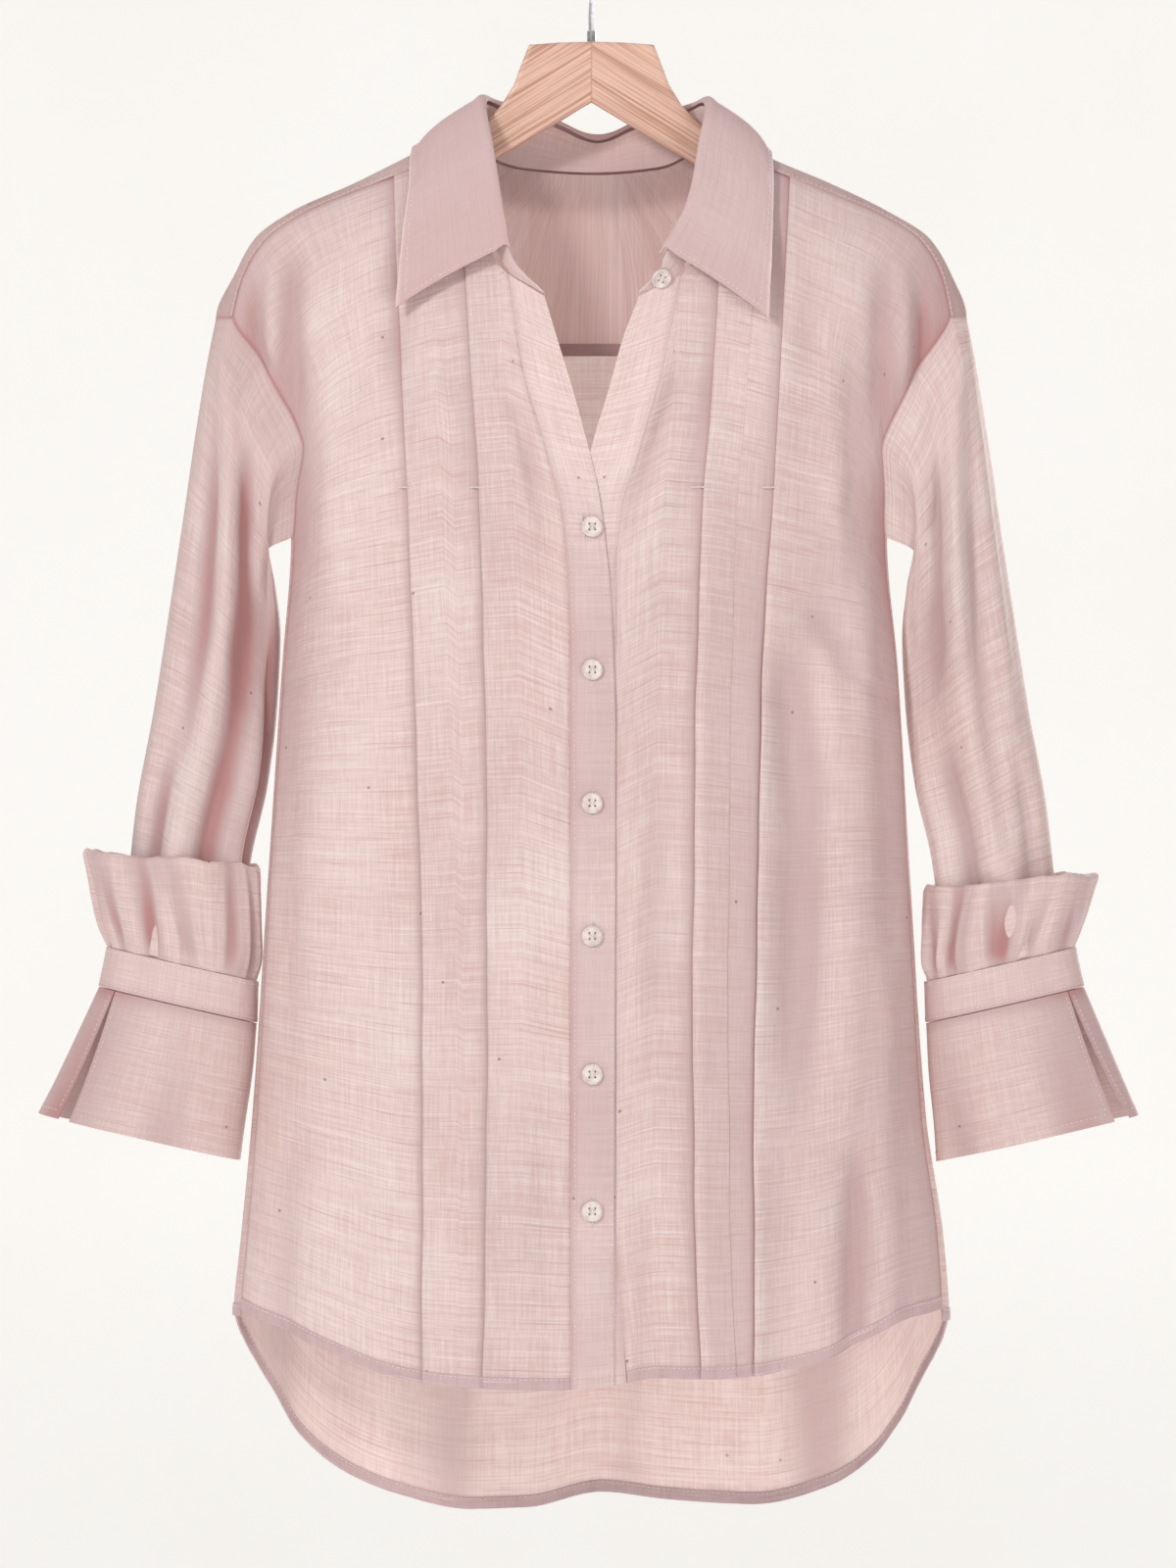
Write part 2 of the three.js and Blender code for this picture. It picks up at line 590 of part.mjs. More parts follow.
/** A narrow hem strip under a panel's raised bottom row. */
function hemWall(places) {
  const bottom = places[places.length - 1];
  const half = HEM_WIDTH / 2;
  const strip = [HEM_WIDTH, half, 0].map((rise) => bottom.map((p) => ({ ...p, z: p.z + rise })));
  strip.forEach((row) => row.forEach((p) => { p.lift += HEM_PROUD; }));
  return bodyWall(strip, CLOTH + 2 * HEM_PROUD, ['top']);
}

/** A band's grid: from the panel's seam line across to the free edge. */
function bandPlaces(panel, column, edgeTable, lift) {
  const edgeX = through(edgeTable, 'z', 'x');
  const seam = panel.slice(NECK_ROWS).map((row) => row[column]);
  const count = seam.length - 1;
  return seam.map((p, i) => {
    const drop = NECK_END - BAND_TOP;
    const z = lerp(p.z + drop, p.z, smoothstep(i, 0, BAND_BLEND_ROWS));
    const edge = { turn: turnAt(edgeX(z), z, 1), z, lift };
    if (i === count) edge.z = frontHem(edge.turn);
    return stops(2).map((f) => ({ ...mix({ ...p, lift }, edge, f), lift }));
  });
}

const TOP_BAND_LIFT = CLOTH + LAYER_GAP;
const rightBand = bandPlaces(frontRight, frontRight[0].length - 1, RIGHT_BAND_EDGE, TOP_BAND_LIFT);
const leftBand = bandPlaces(frontLeft, 0, LEFT_BAND_EDGE, 0);

/** The back's grid, from the wearer's right armhole round to the left one. */
function backPlaces() {
  const start = sideLine('right', ARMHOLE_BACK);
  const end = sideLine('left', ARMHOLE_BACK);
  const places = loft([start, end], [BACK_COLUMNS]);
  const last = places.length - 1;
  places.forEach((row, i) => row.forEach((p) => {
    const sideZ = start[i].z;
    const part = (start[0].z - sideZ) / (start[0].z - start[last].z);
    const hem = backHem(p.turn);
    const across = smoothstep(Math.min(p.turn - Math.PI, TURN - p.turn), -0.2, 0.5);
    p.z = lerp(sideZ, lerp(start[0].z, hem, part), across);
    if (i === last) p.z = hem;
  }));
  return places;
}
const back = backPlaces();

/** Places round the yoke's outer edge: armhole, back seam, armhole. */
function yokeOuter() {
  const over = (name, reversed) => {
    const frontEnd = { turn: sideTurn(ARMHOLE_FRONT[0].degrees, name), z: YOKE_FRONT_END };
    const tip = { turn: sideTurn(0, name), z: SHOULDER_END };
    const backEnd = { turn: sideTurn(ARMHOLE_BACK[0].degrees, name), z: YOKE_BACK_SEAM };
    const half = OVER_ROWS / 2;
    const list = [...stops(half).map((f) => mix(frontEnd, tip, f)),
      ...stops(half).slice(1).map((f) => mix(tip, backEnd, f))];
    const turned = name === 'left' ? list.map((p) => ({ ...p, turn: p.turn + TURN })) : list;
    return reversed ? turned.reverse() : turned;
  };
  return [...over('right', false), ...back[0].slice(1, -1), ...over('left', true)];
}

// Neck seam on the yoke, by the part of the way round from the right front to the left front
const NECK_ROUND = [
  { part: 0, degrees: 132.7, z: -150 },
  { part: 0.05, degrees: 153, z: -138.5 },
  { part: 0.107, degrees: 180, z: -132 },
  { part: 0.165, degrees: 207, z: -139.5 },
  { part: 0.25, degrees: 232, z: -151 },
  { part: 0.37, degrees: 251, z: -161 },
  { part: 0.5, degrees: 271, z: -164 },
  { part: 0.63, degrees: 289, z: -161 },
  { part: 0.75, degrees: 308, z: -151 },
  { part: 0.835, degrees: 333, z: -139.5 },
  { part: 0.893, degrees: 360, z: -132 },
  { part: 0.95, degrees: 387, z: -138.5 },
  { part: 1, degrees: 403, z: -150 },
];
function yokeInner(count) {
  const turnOf = through(NECK_ROUND, 'part', 'degrees');
  const zOf = through(NECK_ROUND, 'part', 'z');
  return stops(count).map((part) => ({ turn: degToRad(turnOf(part)), z: zOf(part), lift: 0 }));
}

/** The yoke's grid: rows go from the neck out to the armholes and the back seam. */
function yokePlaces() {
  const outer = yokeOuter();
  const inner = yokeInner(outer.length - 1);
  const topRight = [...frontRight[0]].reverse();
  const topLeft = [...frontLeft[0]];
  const partOf = (row) => row.map((p) => (YOKE_FRONT_TOP - p.z) / (YOKE_FRONT_TOP - YOKE_FRONT_END));
  const rightParts = partOf(topRight);
  const leftParts = partOf(topLeft);
  const last = outer.length - 1;
  const ridge = OVER_ROWS / 2;
  return rightParts.map((_, i) => outer.map((edge, k) => {
    const across = (column) => mix(inner[column], outer[column], lerp(rightParts[i], leftParts[i], column / last));
    const rightSeam = { ...topRight[i], lift: 0 };
    const leftSeam = { ...topLeft[i], turn: topLeft[i].turn + TURN, lift: 0 };
    if (k < ridge && i > 0) return mix(rightSeam, across(ridge), k / ridge);
    if (k > last - ridge && i > 0) return mix(leftSeam, across(last - ridge), (last - k) / ridge);
    if (k === 0) return rightSeam;
    if (k === last) return leftSeam;
    return across(k);
  }));
}
const yoke = yokePlaces();

/** A curve through one column of the collar's stations. */
function collarCurve(name) {
  return new THREE.CatmullRomCurve3(COLLAR.map((row) => new THREE.Vector3(...row[name])), false, 'centripetal');
}
const foldCurve = collarCurve('fold');
const edgeCurve = collarCurve('edge');

/** The stand's grid of points: foot, middle and top rows. */
function standGrid() {
  const yokeNeck = yoke[0];
  const rightNeck = frontRight.slice(0, NECK_ROWS + 1).map((row) => row[row.length - 1]).reverse();
  const leftNeck = frontLeft.slice(0, NECK_ROWS + 1).map((row) => row[0]);
  const feet = [
    ...[...rightBand[0]].reverse().slice(0, -1),
    ...rightNeck.slice(0, -1),
    ...yokeNeck,
    ...leftNeck.slice(1),
    ...leftBand[0].slice(1),
  ].map((p) => ({ ...p, lift: p.lift }));
  const last = feet.length - 1;
  const foot = feet.map((p) => skin(p.turn, p.z, p.lift));
  const tops = foot.map((point, k) => {
    const f = THREE.MathUtils.clamp((k - 2) / (last - 4), 0, 1);
    const fold = foldCurve.getPoint(f);
    const top = fold.addScaledVector(point.clone().sub(fold).normalize(), STAND_TOP_DROP);
    const end = Math.min(k, last - k) / 2;
    return end < 1 ? point.clone().lerp(top, lerp(STAND_TIP, 1, end)) : top;
  });
  return [0, 0.5, 1].map((f) => foot.map((point, k) => {
    const raised = point.clone().lerp(tops[k], f);
    const away = tops[k].clone().sub(point).normalize();
    if (f > 0) return raised;
    raised.x -= Math.sign(raised.x) * STAND_INSET;
    return raised.addScaledVector(away, STAND_FOOT_GAP);
  }));
}

const stand = standGrid();

/** The collar's stand, a wall that rises from the neck seam. */
const standWall = () => thicken(stand, -STAND_WALL);

/** Where the stand's button sits, on the wearer's left end of it. */
function standButtonPlace() {
  const column = stand[0].length - 1 - STAND_BUTTON_COLUMN;
  const seat = stand[1][column];
  const outward = normalsOf(stand)[1][column];
  if (outward.y > 0) outward.negate();
  const position = seat.clone().addScaledVector(outward, LAYER_GAP + BUTTON_THICK / 2);
  return { position, quaternion: new THREE.Quaternion().setFromUnitVectors(new THREE.Vector3(0, 0, 1), outward) };
}

const collarRows = stops(COLLAR_ROWS);

/** Pushes a point off the body form until it is clear of it. */
function clearOf(point, clearance) {
  const moved = point.clone();
  for (let k = 0; k < 4; k += 1) {
    const side = moved.y < 0 ? 1 : -1;
    const z = Math.min(moved.z, BODY[0].z);
    const a = halfAt(z);
    const b = side > 0 ? bodyFront(z) : bodyBack(z);
    const dx = (moved.x - middleAt(z)) / a;
    const dy = moved.y / b;
    const radius = Math.hypot(dx, dy);
    const ahead = halfAt(z + 0.5) - halfAt(z - 0.5);
    const slope = new THREE.Vector3(dx / a, dy / b, -(radius * ahead) / a);
    const distance = (radius - 1) / slope.length() * radius;
    if (distance >= clearance) return moved;
    moved.addScaledVector(slope.normalize(), clearance - distance);
  }
  return moved;
}

/** The turned-down collar: a small roll over the stand, then the leaf down to its edge. */
function collarWall() {
  const grid = [];
  const columns = stops(COLLAR_COLUMNS);
  const bulges = through(COLLAR.map((row, i) => ({ part: i / (COLLAR.length - 1), bulge: row.bulge })), 'part', 'bulge');
  const outwardAt = (f) => {
    const out = edgeCurve.getPoint(f).sub(foldCurve.getPoint(f));
    out.z = 0;
    return out.normalize();
  };
  grid.push(columns.map((f) => foldCurve.getPoint(f).addScaledVector(outwardAt(f), -0.5)));
  collarRows.forEach((w) => {
    grid.push(columns.map((f) => {
      const from = foldCurve.getPoint(f).addScaledVector(outwardAt(f), ROLL + 1.2);
      from.z += w === 0 ? 1.4 : 0;
      const point = from.lerp(edgeCurve.getPoint(f), w);
      point.addScaledVector(outwardAt(f), bulges(f) * Math.sin(Math.PI * w));
      return w < 0.15 ? point : clearOf(point, COLLAR_CLEAR);
    }));
  });
  return thicken(grid, CLOTH);
}

/** Points of the armhole loop, from the shoulder's end, down the front, up the back. */
function armholeLoop(name) {
  const isRight = name === 'right';
  const outerEdge = yoke[yoke.length - 1];
  const over = isRight ? outerEdge.slice(0, OVER_ROWS + 1) : outerEdge.slice(-OVER_ROWS - 1).reverse();
  const half = OVER_ROWS / 2;
  const front = sideLine(name, ARMHOLE_FRONT).slice(0, ARMHOLE_ROWS + 1);
  const rear = sideLine(name, ARMHOLE_BACK).slice(0, ARMHOLE_ROWS + 1).reverse();
  return [
    ...over.slice(0, half + 1).reverse(),
    ...front.slice(1),
    ...rear.slice(1),
    ...over.slice(half + 1, -1).reverse(),
  ];
}

/** A sleeve: rings that start on the armhole loop and hang down beside the body. */
function sleeveWall(name) {
  const sign = name === 'right' ? -1 : 1;
  const loop = armholeLoop(name);
  const count = loop.length;
  const rows = SLEEVE.map((row, i) => ({ ...row, part: i / (SLEEVE.length - 1) }));
  const read = Object.fromEntries(Object.keys(SLEEVE[0]).map((key) => [key, through(rows, 'part', key)]));
  const under = OVER_ROWS / 2 + ARMHOLE_ROWS;
  const angleOf = (k) => (k <= under ? (Math.PI * k) / under
    : Math.PI + (Math.PI * (k - under)) / (count - under));
  const oval = (part, angle) => {
    const middle = (read.outer(part) + read.inner(part)) / 2;
    const reach = (read.outer(part) - read.inner(part)) / 2;
    const middleZ = (read.outerZ(part) + read.innerZ(part)) / 2;
    const reachZ = (read.outerZ(part) - read.innerZ(part)) / 2;
    const sine = Math.sin(angle);
    const hollow = 1 - read.sink(part) * Math.exp(-(((angle - 2.35) / 0.42) ** 2));
    const depth = sine > 0 ? read.front(part) * hollow : read.back(part);
    return new THREE.Vector3(
      sign * (middle + reach * Math.cos(angle)),
      read.centre(part) - depth * sine,
      middleZ + reachZ * Math.cos(angle),
    );
  };
  const grid = (lift) => {
    const edge = loop.map((p) => skin(p.turn, p.z, lift));
    return stops(SLEEVE_RINGS).map((part) => {
      const keep = 1 - smoothstep(part, 0, SLEEVE_BLEND);
      return edge.map((point, k) => {
        const angle = angleOf(k);
        const start = oval(0, angle);
        return oval(part, angle).addScaledVector(point.clone().sub(start), keep);
      });
    });
  };
  const outer = grid(0);
  const normals = normalsOf(outer, true);
  const firstInner = grid(-CLOTH)[0];
  const facing = sign < 0 ? 1 : -1;
  const inner = outer.map((row, i) => row.map((p, k) => (i === 0 ? firstInner[k]
    : p.clone().addScaledVector(normals[i][k], -CLOTH * facing))));
  drawIn(outer, ['top'], SLEEVE_SEAM_GAP);
  drawIn(inner, ['top'], SLEEVE_SEAM_GAP);
  return wall(outer, inner, true);
}

/** A place on a slanted oval ring of the sleeve's end, at an angle from its outer side. */
function cuffPoint(name, row, angle, more = 0) {
  const sign = name === 'right' ? -1 : 1;
  const reach = (row.across + more) * Math.cos(angle);
  const tilt = degToRad(row.tilt);
  return new THREE.Vector3(
    sign * (row.x + reach * Math.cos(tilt)),
    CUFF_MIDDLE - (row.depth + more) * Math.sin(angle),
    row.z + reach * Math.sin(tilt),
  );
}

/** The uneven in-and-out of the gathers round the puff. */
const gatherAt = (angle) => Math.cos(PUFF_WAVES * angle + 0.9 * Math.sin(2 * angle) + 0.6 * Math.sin(5 * angle));

function ringGrid(name, rows, columns, ripple) {
  const around = stops(columns).slice(0, -1);
  return rows.map((row) => around.map((f) => {
    const angle = f * TURN;
    return cuffPoint(name, row, angle, ripple ? row.gather * gatherAt(angle) : 0);
  }));
}

/** The puff's rings, settled a little lower toward the rim on one side. */
function puffRows(name) {
  const foot = PUFF[0].z;
  const top = Math.max(...PUFF.map((row) => row.z));
  return PUFF.map((row) => ({ ...row, z: row.z - (PUFF_SETTLE[name] * (row.z - foot)) / (top - foot) }));
}

function ringWall(name, rows, columns, thickness, ripple = false) {
  const facing = name === 'right' ? 1 : -1;
  return thicken(ringGrid(name, rows, columns, ripple), thickness * facing, true);
}

/** The flared cuff: one strip round the wrist, open at the vent on its outer side. */
function flareWall(name) {
  const facing = name === 'right' ? 1 : -1;
  const grid = CUFF_FLARE.map((row) => stops(CUFF_COLUMNS).map((f) => {
    const gap = degToRad(row.open);
    const angle = VENT_ANGLE + gap / 2 + f * (TURN - gap);
    return cuffPoint(name, row, angle);
  }));
  return thicken(grid, CLOTH * facing);
}

/** A round button with a raised rim, facing +Z before it is placed. */
function buttonProfile() {
  const half = BUTTON_THICK / 2;
  const dish = BUTTON_RADIUS * 0.68;
  const rim = BUTTON_RADIUS * 0.86;
  const points = [[0, -half], [dish, -half], [BUTTON_RADIUS, 0], [rim, half], [dish, half * 0.45], [0, half * 0.45]];
  return new THREE.LatheGeometry(points.map(([r, h]) => new THREE.Vector2(r, h)), 16).rotateX(Math.PI / 2);
}

const wasm = await Module();
wasm.setup();

/** A three.js geometry as a solid that can be joined and cut. */
function solidOf(geometry) {
  const bare = geometry.clone();
  bare.deleteAttribute('normal');
  bare.deleteAttribute('uv');
  const merged = mergeVertices(bare, 1e-4);
  return new wasm.Manifold(new wasm.Mesh({
    numProp: 3,
    vertProperties: new Float32Array(merged.attributes.position.array),
    triVerts: new Uint32Array(merged.index.array),
  }));
}

function geometryOf(solid) {
  const mesh = solid.getMesh();
  const geometry = new THREE.BufferGeometry();
  geometry.setAttribute('position', new THREE.Float32BufferAttribute(mesh.vertProperties, 3));
  geometry.setIndex([...mesh.triVerts]);
  return geometry;
}

/** The button's body with its four holes cut through. */
function buttonGeometry() {
  let body = solidOf(buttonProfile());
  [[1, 1], [1, -1], [-1, 1], [-1, -1]].forEach(([sx, sy]) => {
    const hole = new THREE.CylinderGeometry(BUTTON_HOLE, BUTTON_HOLE, 2 * BUTTON_THICK, 4).rotateX(Math.PI / 2);
    hole.translate(sx * BUTTON_HOLE_SPREAD, sy * BUTTON_HOLE_SPREAD, 0);
    body = body.subtract(solidOf(hole));
  });
  return geometryOf(body);
}

/** The hanger's wooden body: a bevelled board with arms that slope down. */
function hangerGeometry() {
  const arm = HANGER_ARM;
  const drop = (arm.endX - arm.startX) * arm.slope;
  const inset = HANGER_BEVEL;
  const top = HANGER_TOP.map(({ x, z }) => [x, z]);
  const rightSide = [
    ...top,
    [arm.startX, arm.startZ],
    [arm.endX, arm.startZ - drop],
    [arm.endX + 7, arm.startZ - drop - arm.endDepth * 0.6],
    [arm.endX + 1, arm.startZ - drop - arm.endDepth],
    [arm.startX, arm.startZ - arm.startDepth],
    [0, HANGER_APEX],
  ];
  const leftSide = rightSide.slice(1, -1).reverse().map(([x, z]) => [-x, z]);
  const outline = [...rightSide, ...leftSide].map(([x, z]) => new THREE.Vector2(x, z));
  const geometry = new THREE.ExtrudeGeometry(new THREE.Shape(outline), {
    depth: HANGER_THICK - 2 * inset,
    bevelEnabled: true,
    bevelSize: inset,
    bevelThickness: inset,
    bevelOffset: -inset,
    bevelSegments: 2,
  });
  return geometry.rotateX(Math.PI / 2).translate(0, HANGER_THICK / 2 - inset, 0);
}

/** The hook: a straight shank that bends out and round over the crown. */
function hookGeometry() {
  const crown = HOOK_WIRE - HOOK_RADIUS;
  const arc = stops(12).map((f) => {
    const angle = degToRad(lerp(-12, 205, f));
    return new THREE.Vector3(HOOK_RADIUS * Math.cos(angle), 0, crown + HOOK_RADIUS * Math.sin(angle));
  });
  const shank = [[0, HANGER_CENTRE_TOP + 7.2], [0, -62], [1.5, -50], [9, -38.5]].map(([x, z]) => new THREE.Vector3(x, 0, z));
  const path = new THREE.CatmullRomCurve3([...shank, ...arc], false, 'centripetal');
  const circle = new THREE.Shape();
  circle.absarc(0, 0, HOOK_WIRE, 0, TURN, false);
  return new THREE.ExtrudeGeometry(circle, { steps: 30, extrudePath: path, bevelEnabled: false, curveSegments: 4 });
}

const ferruleGeometry = () => (
  new THREE.CylinderGeometry(2.8, 2.8, 6.6, 16).rotateX(Math.PI / 2).translate(0, 0, HANGER_CENTRE_TOP + 3.6));

const blouse = new THREE.Group();

/** Adds one named piece to the garment. */
function piece(name, geometry, finish, place = null) {
  const bare = geometry.index ? geometry.clone() : geometry;
  bare.deleteAttribute('normal');
  bare.deleteAttribute('uv');
  const mesh = new THREE.Mesh(mergeVertices(bare, 1e-4), new THREE.MeshStandardMaterial(finish));
  mesh.name = name;
  if (place) {
    mesh.position.copy(place.position);
    mesh.quaternion.copy(place.quaternion);
  }
  blouse.add(mesh);
}

/** Where a button sits: on the cloth's outer face and turned to face out of it. */
function buttonPlace(x, z, lift) {
  const turn = turnAt(x, z, 1);
  const seat = skin(turn, z, lift + LAYER_GAP + BUTTON_THICK / 2);
  const outward = seat.clone().sub(skin(turn, z, lift)).normalize();
  return { position: seat, quaternion: new THREE.Quaternion().setFromUnitVectors(new THREE.Vector3(0, 0, 1), outward) };
}

piece('front_right', bodyWall(aboveHem(frontRight), CLOTH, ['top', 'start', 'end', 'bottom']), pink);
piece('front_left', bodyWall(aboveHem(frontLeft), CLOTH, ['top', 'start', 'end', 'bottom']), pink);
piece('hem_front_right', hemWall(frontRight), mauve);
piece('hem_front_left', hemWall(frontLeft), mauve);
piece('placket_right', bodyWall(rightBand, CLOTH, ['top', 'start']), pink);
piece('placket_left', bodyWall(leftBand, CLOTH, ['top', 'start']), pink);
piece('back', bodyWall(aboveHem(back), CLOTH, ['top', 'start', 'end', 'bottom']), pink);
piece('hem_back', hemWall(back), mauve);
piece('yoke', bodyWall(yoke, CLOTH, ['top', 'bottom', 'start', 'end']), pink);
piece('collar_stand', standWall(), pink);
piece('collar', collarWall(), pink);
['right', 'left'].forEach((name) => {
  piece(`sleeve_${name}`, sleeveWall(name), pink);
  piece(`puff_${name}`, ringWall(name, puffRows(name), PUFF_COLUMNS, CLOTH, true), pink);
  piece(`cuff_band_${name}`, ringWall(name, CUFF_BAND, CUFF_COLUMNS, CLOTH), pink);
  piece(`cuff_flare_${name}`, flareWall(name), pink);
});
BUTTON_HEIGHTS.forEach((z, k) => {
  piece(`button_${k + 1}`, buttonGeometry(), pearl, buttonPlace(BUTTON_LINE, z, TOP_BAND_LIFT));
});
piece('button_7', buttonGeometry(), pearl, standButtonPlace());
piece('hanger_body', hangerGeometry(), wood);
piece('hanger_ferrule', ferruleGeometry(), steel);
piece('hanger_hook', hookGeometry(), steel);

export default blouse;
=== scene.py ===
"""A long-sleeved blouse on a wooden hanger, dressed for its picture.

Metres, +Z up. The front faces -Y. Right and left are the wearer's, so right is at -X.
The shape tables are in millimetres, and so are all sizes until a mesh is made.
"""

import logging
import math
from dataclasses import dataclass, field
from enum import Enum
from typing import Iterable, Sequence

import bpy
import numpy as np
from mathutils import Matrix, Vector

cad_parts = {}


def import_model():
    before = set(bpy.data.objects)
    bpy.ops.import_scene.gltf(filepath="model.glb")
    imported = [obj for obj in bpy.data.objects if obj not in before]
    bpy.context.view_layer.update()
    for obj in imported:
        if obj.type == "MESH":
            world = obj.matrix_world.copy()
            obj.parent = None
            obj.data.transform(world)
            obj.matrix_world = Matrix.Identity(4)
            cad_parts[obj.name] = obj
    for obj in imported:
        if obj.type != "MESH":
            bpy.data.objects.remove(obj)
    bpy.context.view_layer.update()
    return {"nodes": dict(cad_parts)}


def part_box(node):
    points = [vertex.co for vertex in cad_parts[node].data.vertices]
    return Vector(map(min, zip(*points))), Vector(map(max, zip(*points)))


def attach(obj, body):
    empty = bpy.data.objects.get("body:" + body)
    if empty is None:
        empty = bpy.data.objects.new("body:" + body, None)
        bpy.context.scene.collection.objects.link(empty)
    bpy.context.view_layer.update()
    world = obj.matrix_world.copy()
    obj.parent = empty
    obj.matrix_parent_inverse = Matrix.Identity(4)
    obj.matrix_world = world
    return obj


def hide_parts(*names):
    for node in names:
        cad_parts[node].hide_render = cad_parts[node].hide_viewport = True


LOG = logging.getLogger("blouse")
Grid = np.ndarray
Pair = tuple[float, float]

MM = 0.001
TURN = 2 * math.pi
BODY_NAME = "root"
FOLD_DEPTH = 1.35
TROUGH = 7.0
SLEEVE_FOLD_DEPTH = 1.4
SHARP_ANGLE = math.radians(60)
LEAST_CUT = 0.301


class Side(Enum):
    """The wearer's right and left, with the sign of X on that side."""

    RIGHT = "right"
    LEFT = "left"

    @property
    def sign(self) -> int:
        """Return -1 for the right and 1 for the left."""
        return -1 if self is Side.RIGHT else 1


class Slot(Enum):
    """The material slots, by name."""

    CLOTH = "cloth"
    HEM = "hem"
    BUTTON = "button"
    WOOD = "hanger_wood"
    METAL = "hanger_metal"


# Shape tables of the body
BODY_SECTIONS = (
    # z, left, right, front, back
    (-131, 74, 78, 22, 24),
    (-152, 115, 110, 26, 28),
    (-171, 153, 154, 31, 32),
    (-188, 191, 189, 35, 36),
    (-206, 216, 217, 39, 40),
    (-229, 229, 231, 43, 44),
    (-257, 241, 241, 47, 46),
    (-306, 222, 222, 54, 50),
    (-351, 199, 199, 59, 53),
    (-397, 193, 190, 62, 56),
    (-483, 199, 197, 65, 58),
    (-619, 208, 205, 68, 61),
    (-769, 218, 215, 72, 65),
    (-844, 225, 226, 74, 67),
    (-894, 230, 230, 76, 68),
    (-1030, 234, 234, 78, 66),
)
LARGE_FOLDS = (
    # side, x, z, width, reach, rise, lean
    (1, -205, -330, 22, 90, -5, -0.25),
    (1, 208, -335, 22, 95, -5, 0.25),
    (1, -160, -640, 34, 260, 4, 0),
    (1, 138, -560, 22, 210, -6, 0.05),
    (1, 172, -700, 26, 250, 4, 0.03),
    (1, 172, -860, 12, 90, -5, 0),
    (1, -45, -700, 20, 240, 2.5, 0),
    (1, 42, -640, 16, 200, -2, 0),
    (-1, -120, -720, 34, 280, -6, 0.05),
    (-1, 20, -760, 38, 300, 4, -0.03),
    (-1, 130, -700, 32, 290, -6, -0.04),
    (-1, -60, -860, 24, 180, 4, 0.06),
)
YOKE_SEAM = {
    Side.RIGHT: ((-257, 231), (-233, 225), (-208, 210), (-192, 188), (-173, 143), (-160, 108), (-150, 76)),
    Side.LEFT: ((-257, 231), (-233, 226), (-208, 212), (-192, 188), (-173, 143), (-160, 110), (-150, 80)),
}
# The yoke's outline in steps from its right front seam, with the corners of its two armholes
YOKE_STEPS = 28
FRONT_STEPS = 3
RIGHT_CORNERS = (0, 3, 6)
LEFT_CORNERS = (22, 25, 28)
# An armhole in steps from the shoulder's end down the front: the yoke's corner, the underarm, the yoke again
ARMHOLE_STEPS = 18
ARMHOLE_CORNERS = (3, 9, 15)
YOKE_FRONT_TOP = -150
YOKE_FRONT_END = -257
YOKE_BACK_SEAM = -273
SHOULDER_END = -256
UNDERARM = -397
SIDE_HEM = -892
BAND_TOP = -231
NECK_END = -245
HEM_MEET = -935
ARMHOLE_FRONT = ((-257, 16.5), (-282, 22), (-316, 24), (-337, 23), (-353, 18), (-376, 9), (-397, 4))
ARMHOLE_BACK = ((-273, -18), (-300, -23), (-330, -23), (-353, -17), (-376, -7), (-397, 4))
SIDE_SEAM = ((-397, 4), (-892, 12))
NECK_FRONT = {
    Side.RIGHT: ((-150, -76), (-187, -70), (-220, -62), (-231, -53), (-245, -30)),
    Side.LEFT: ((-150, 80), (-187, 74), (-218, 66), (-232, 57), (-246, 30)),
}
BAND_SEAM = {
    Side.RIGHT: ((-231, -53), (-294, -43), (-345, -28), (-395, -17), (-459, -14), (-700, -13), (-940, -13)),
    Side.LEFT: ((-232, 57), (-288, 46), (-348, 29), (-380, 19.5), (-420, 16), (-846, 16), (-940, 23)),
}
BAND_EDGE = {
    Side.RIGHT: ((-245, -30), (-275, -21), (-319, -8), (-380, 6), (-446, 12.5), (-520, 15), (-940, 14)),
    Side.LEFT: (
        (-246, 30), (-272, 20), (-301, 12), (-346, -1), (-390, -9), (-440, -11), (-846, -11.5), (-940, -5),
    ),
}
HEM_FRONT = (
    (-224, -893), (-199, -904), (-165, -919), (-131, -932), (-104, -938), (-68, -941), (-27, -942),
    (13, -939), (42, -934), (75, -935), (105, -933), (127, -929), (153, -922), (172, -913), (196, -899),
    (225, -892),
)
HEM_BACK = (
    (-229, -897), (-220, -921), (-206, -948), (-192, -971), (-164, -997), (-125, -1015), (-77, -1025),
    (-40, -1024), (7, -1014), (50, -1019), (102, -1022), (153, -1010), (182, -990), (195, -971), (213, -938),
    (229, -900),
)
NECK_ROUND = (
    # part of the way round, degrees, z
    (0, 132.7, -150), (0.05, 153, -138.5), (0.107, 180, -132), (0.165, 207, -139.5), (0.25, 232, -151),
    (0.37, 251, -161), (0.5, 271, -164), (0.63, 289, -161), (0.75, 308, -151), (0.835, 333, -139.5),
    (0.893, 360, -132), (0.95, 387, -138.5), (1, 403, -150),
)
COLLAR_FOLD = (
    (-52, -52, -214), (-57, -45, -186), (-64, -27, -143), (-68, -6, -117), (-58, 20, -118), (-24, 36, -128),
    (4, 40, -139), (30, 36, -129), (62, 20, -120), (73, -6, -118), (69, -27, -145), (61, -45, -184),
    (44, -54, -216),
)
COLLAR_EDGE = (
    (-125, -49, -252), (-122, -43, -214), (-117, -28, -176), (-115, -6, -150), (-104, 31, -165),
    (-44, 47, -184), (4, 50, -188), (48, 47, -184), (106, 31, -165), (115, -6, -152),
    (116, -28, -178), (116, -43, -216), (114, -50, -259),
)
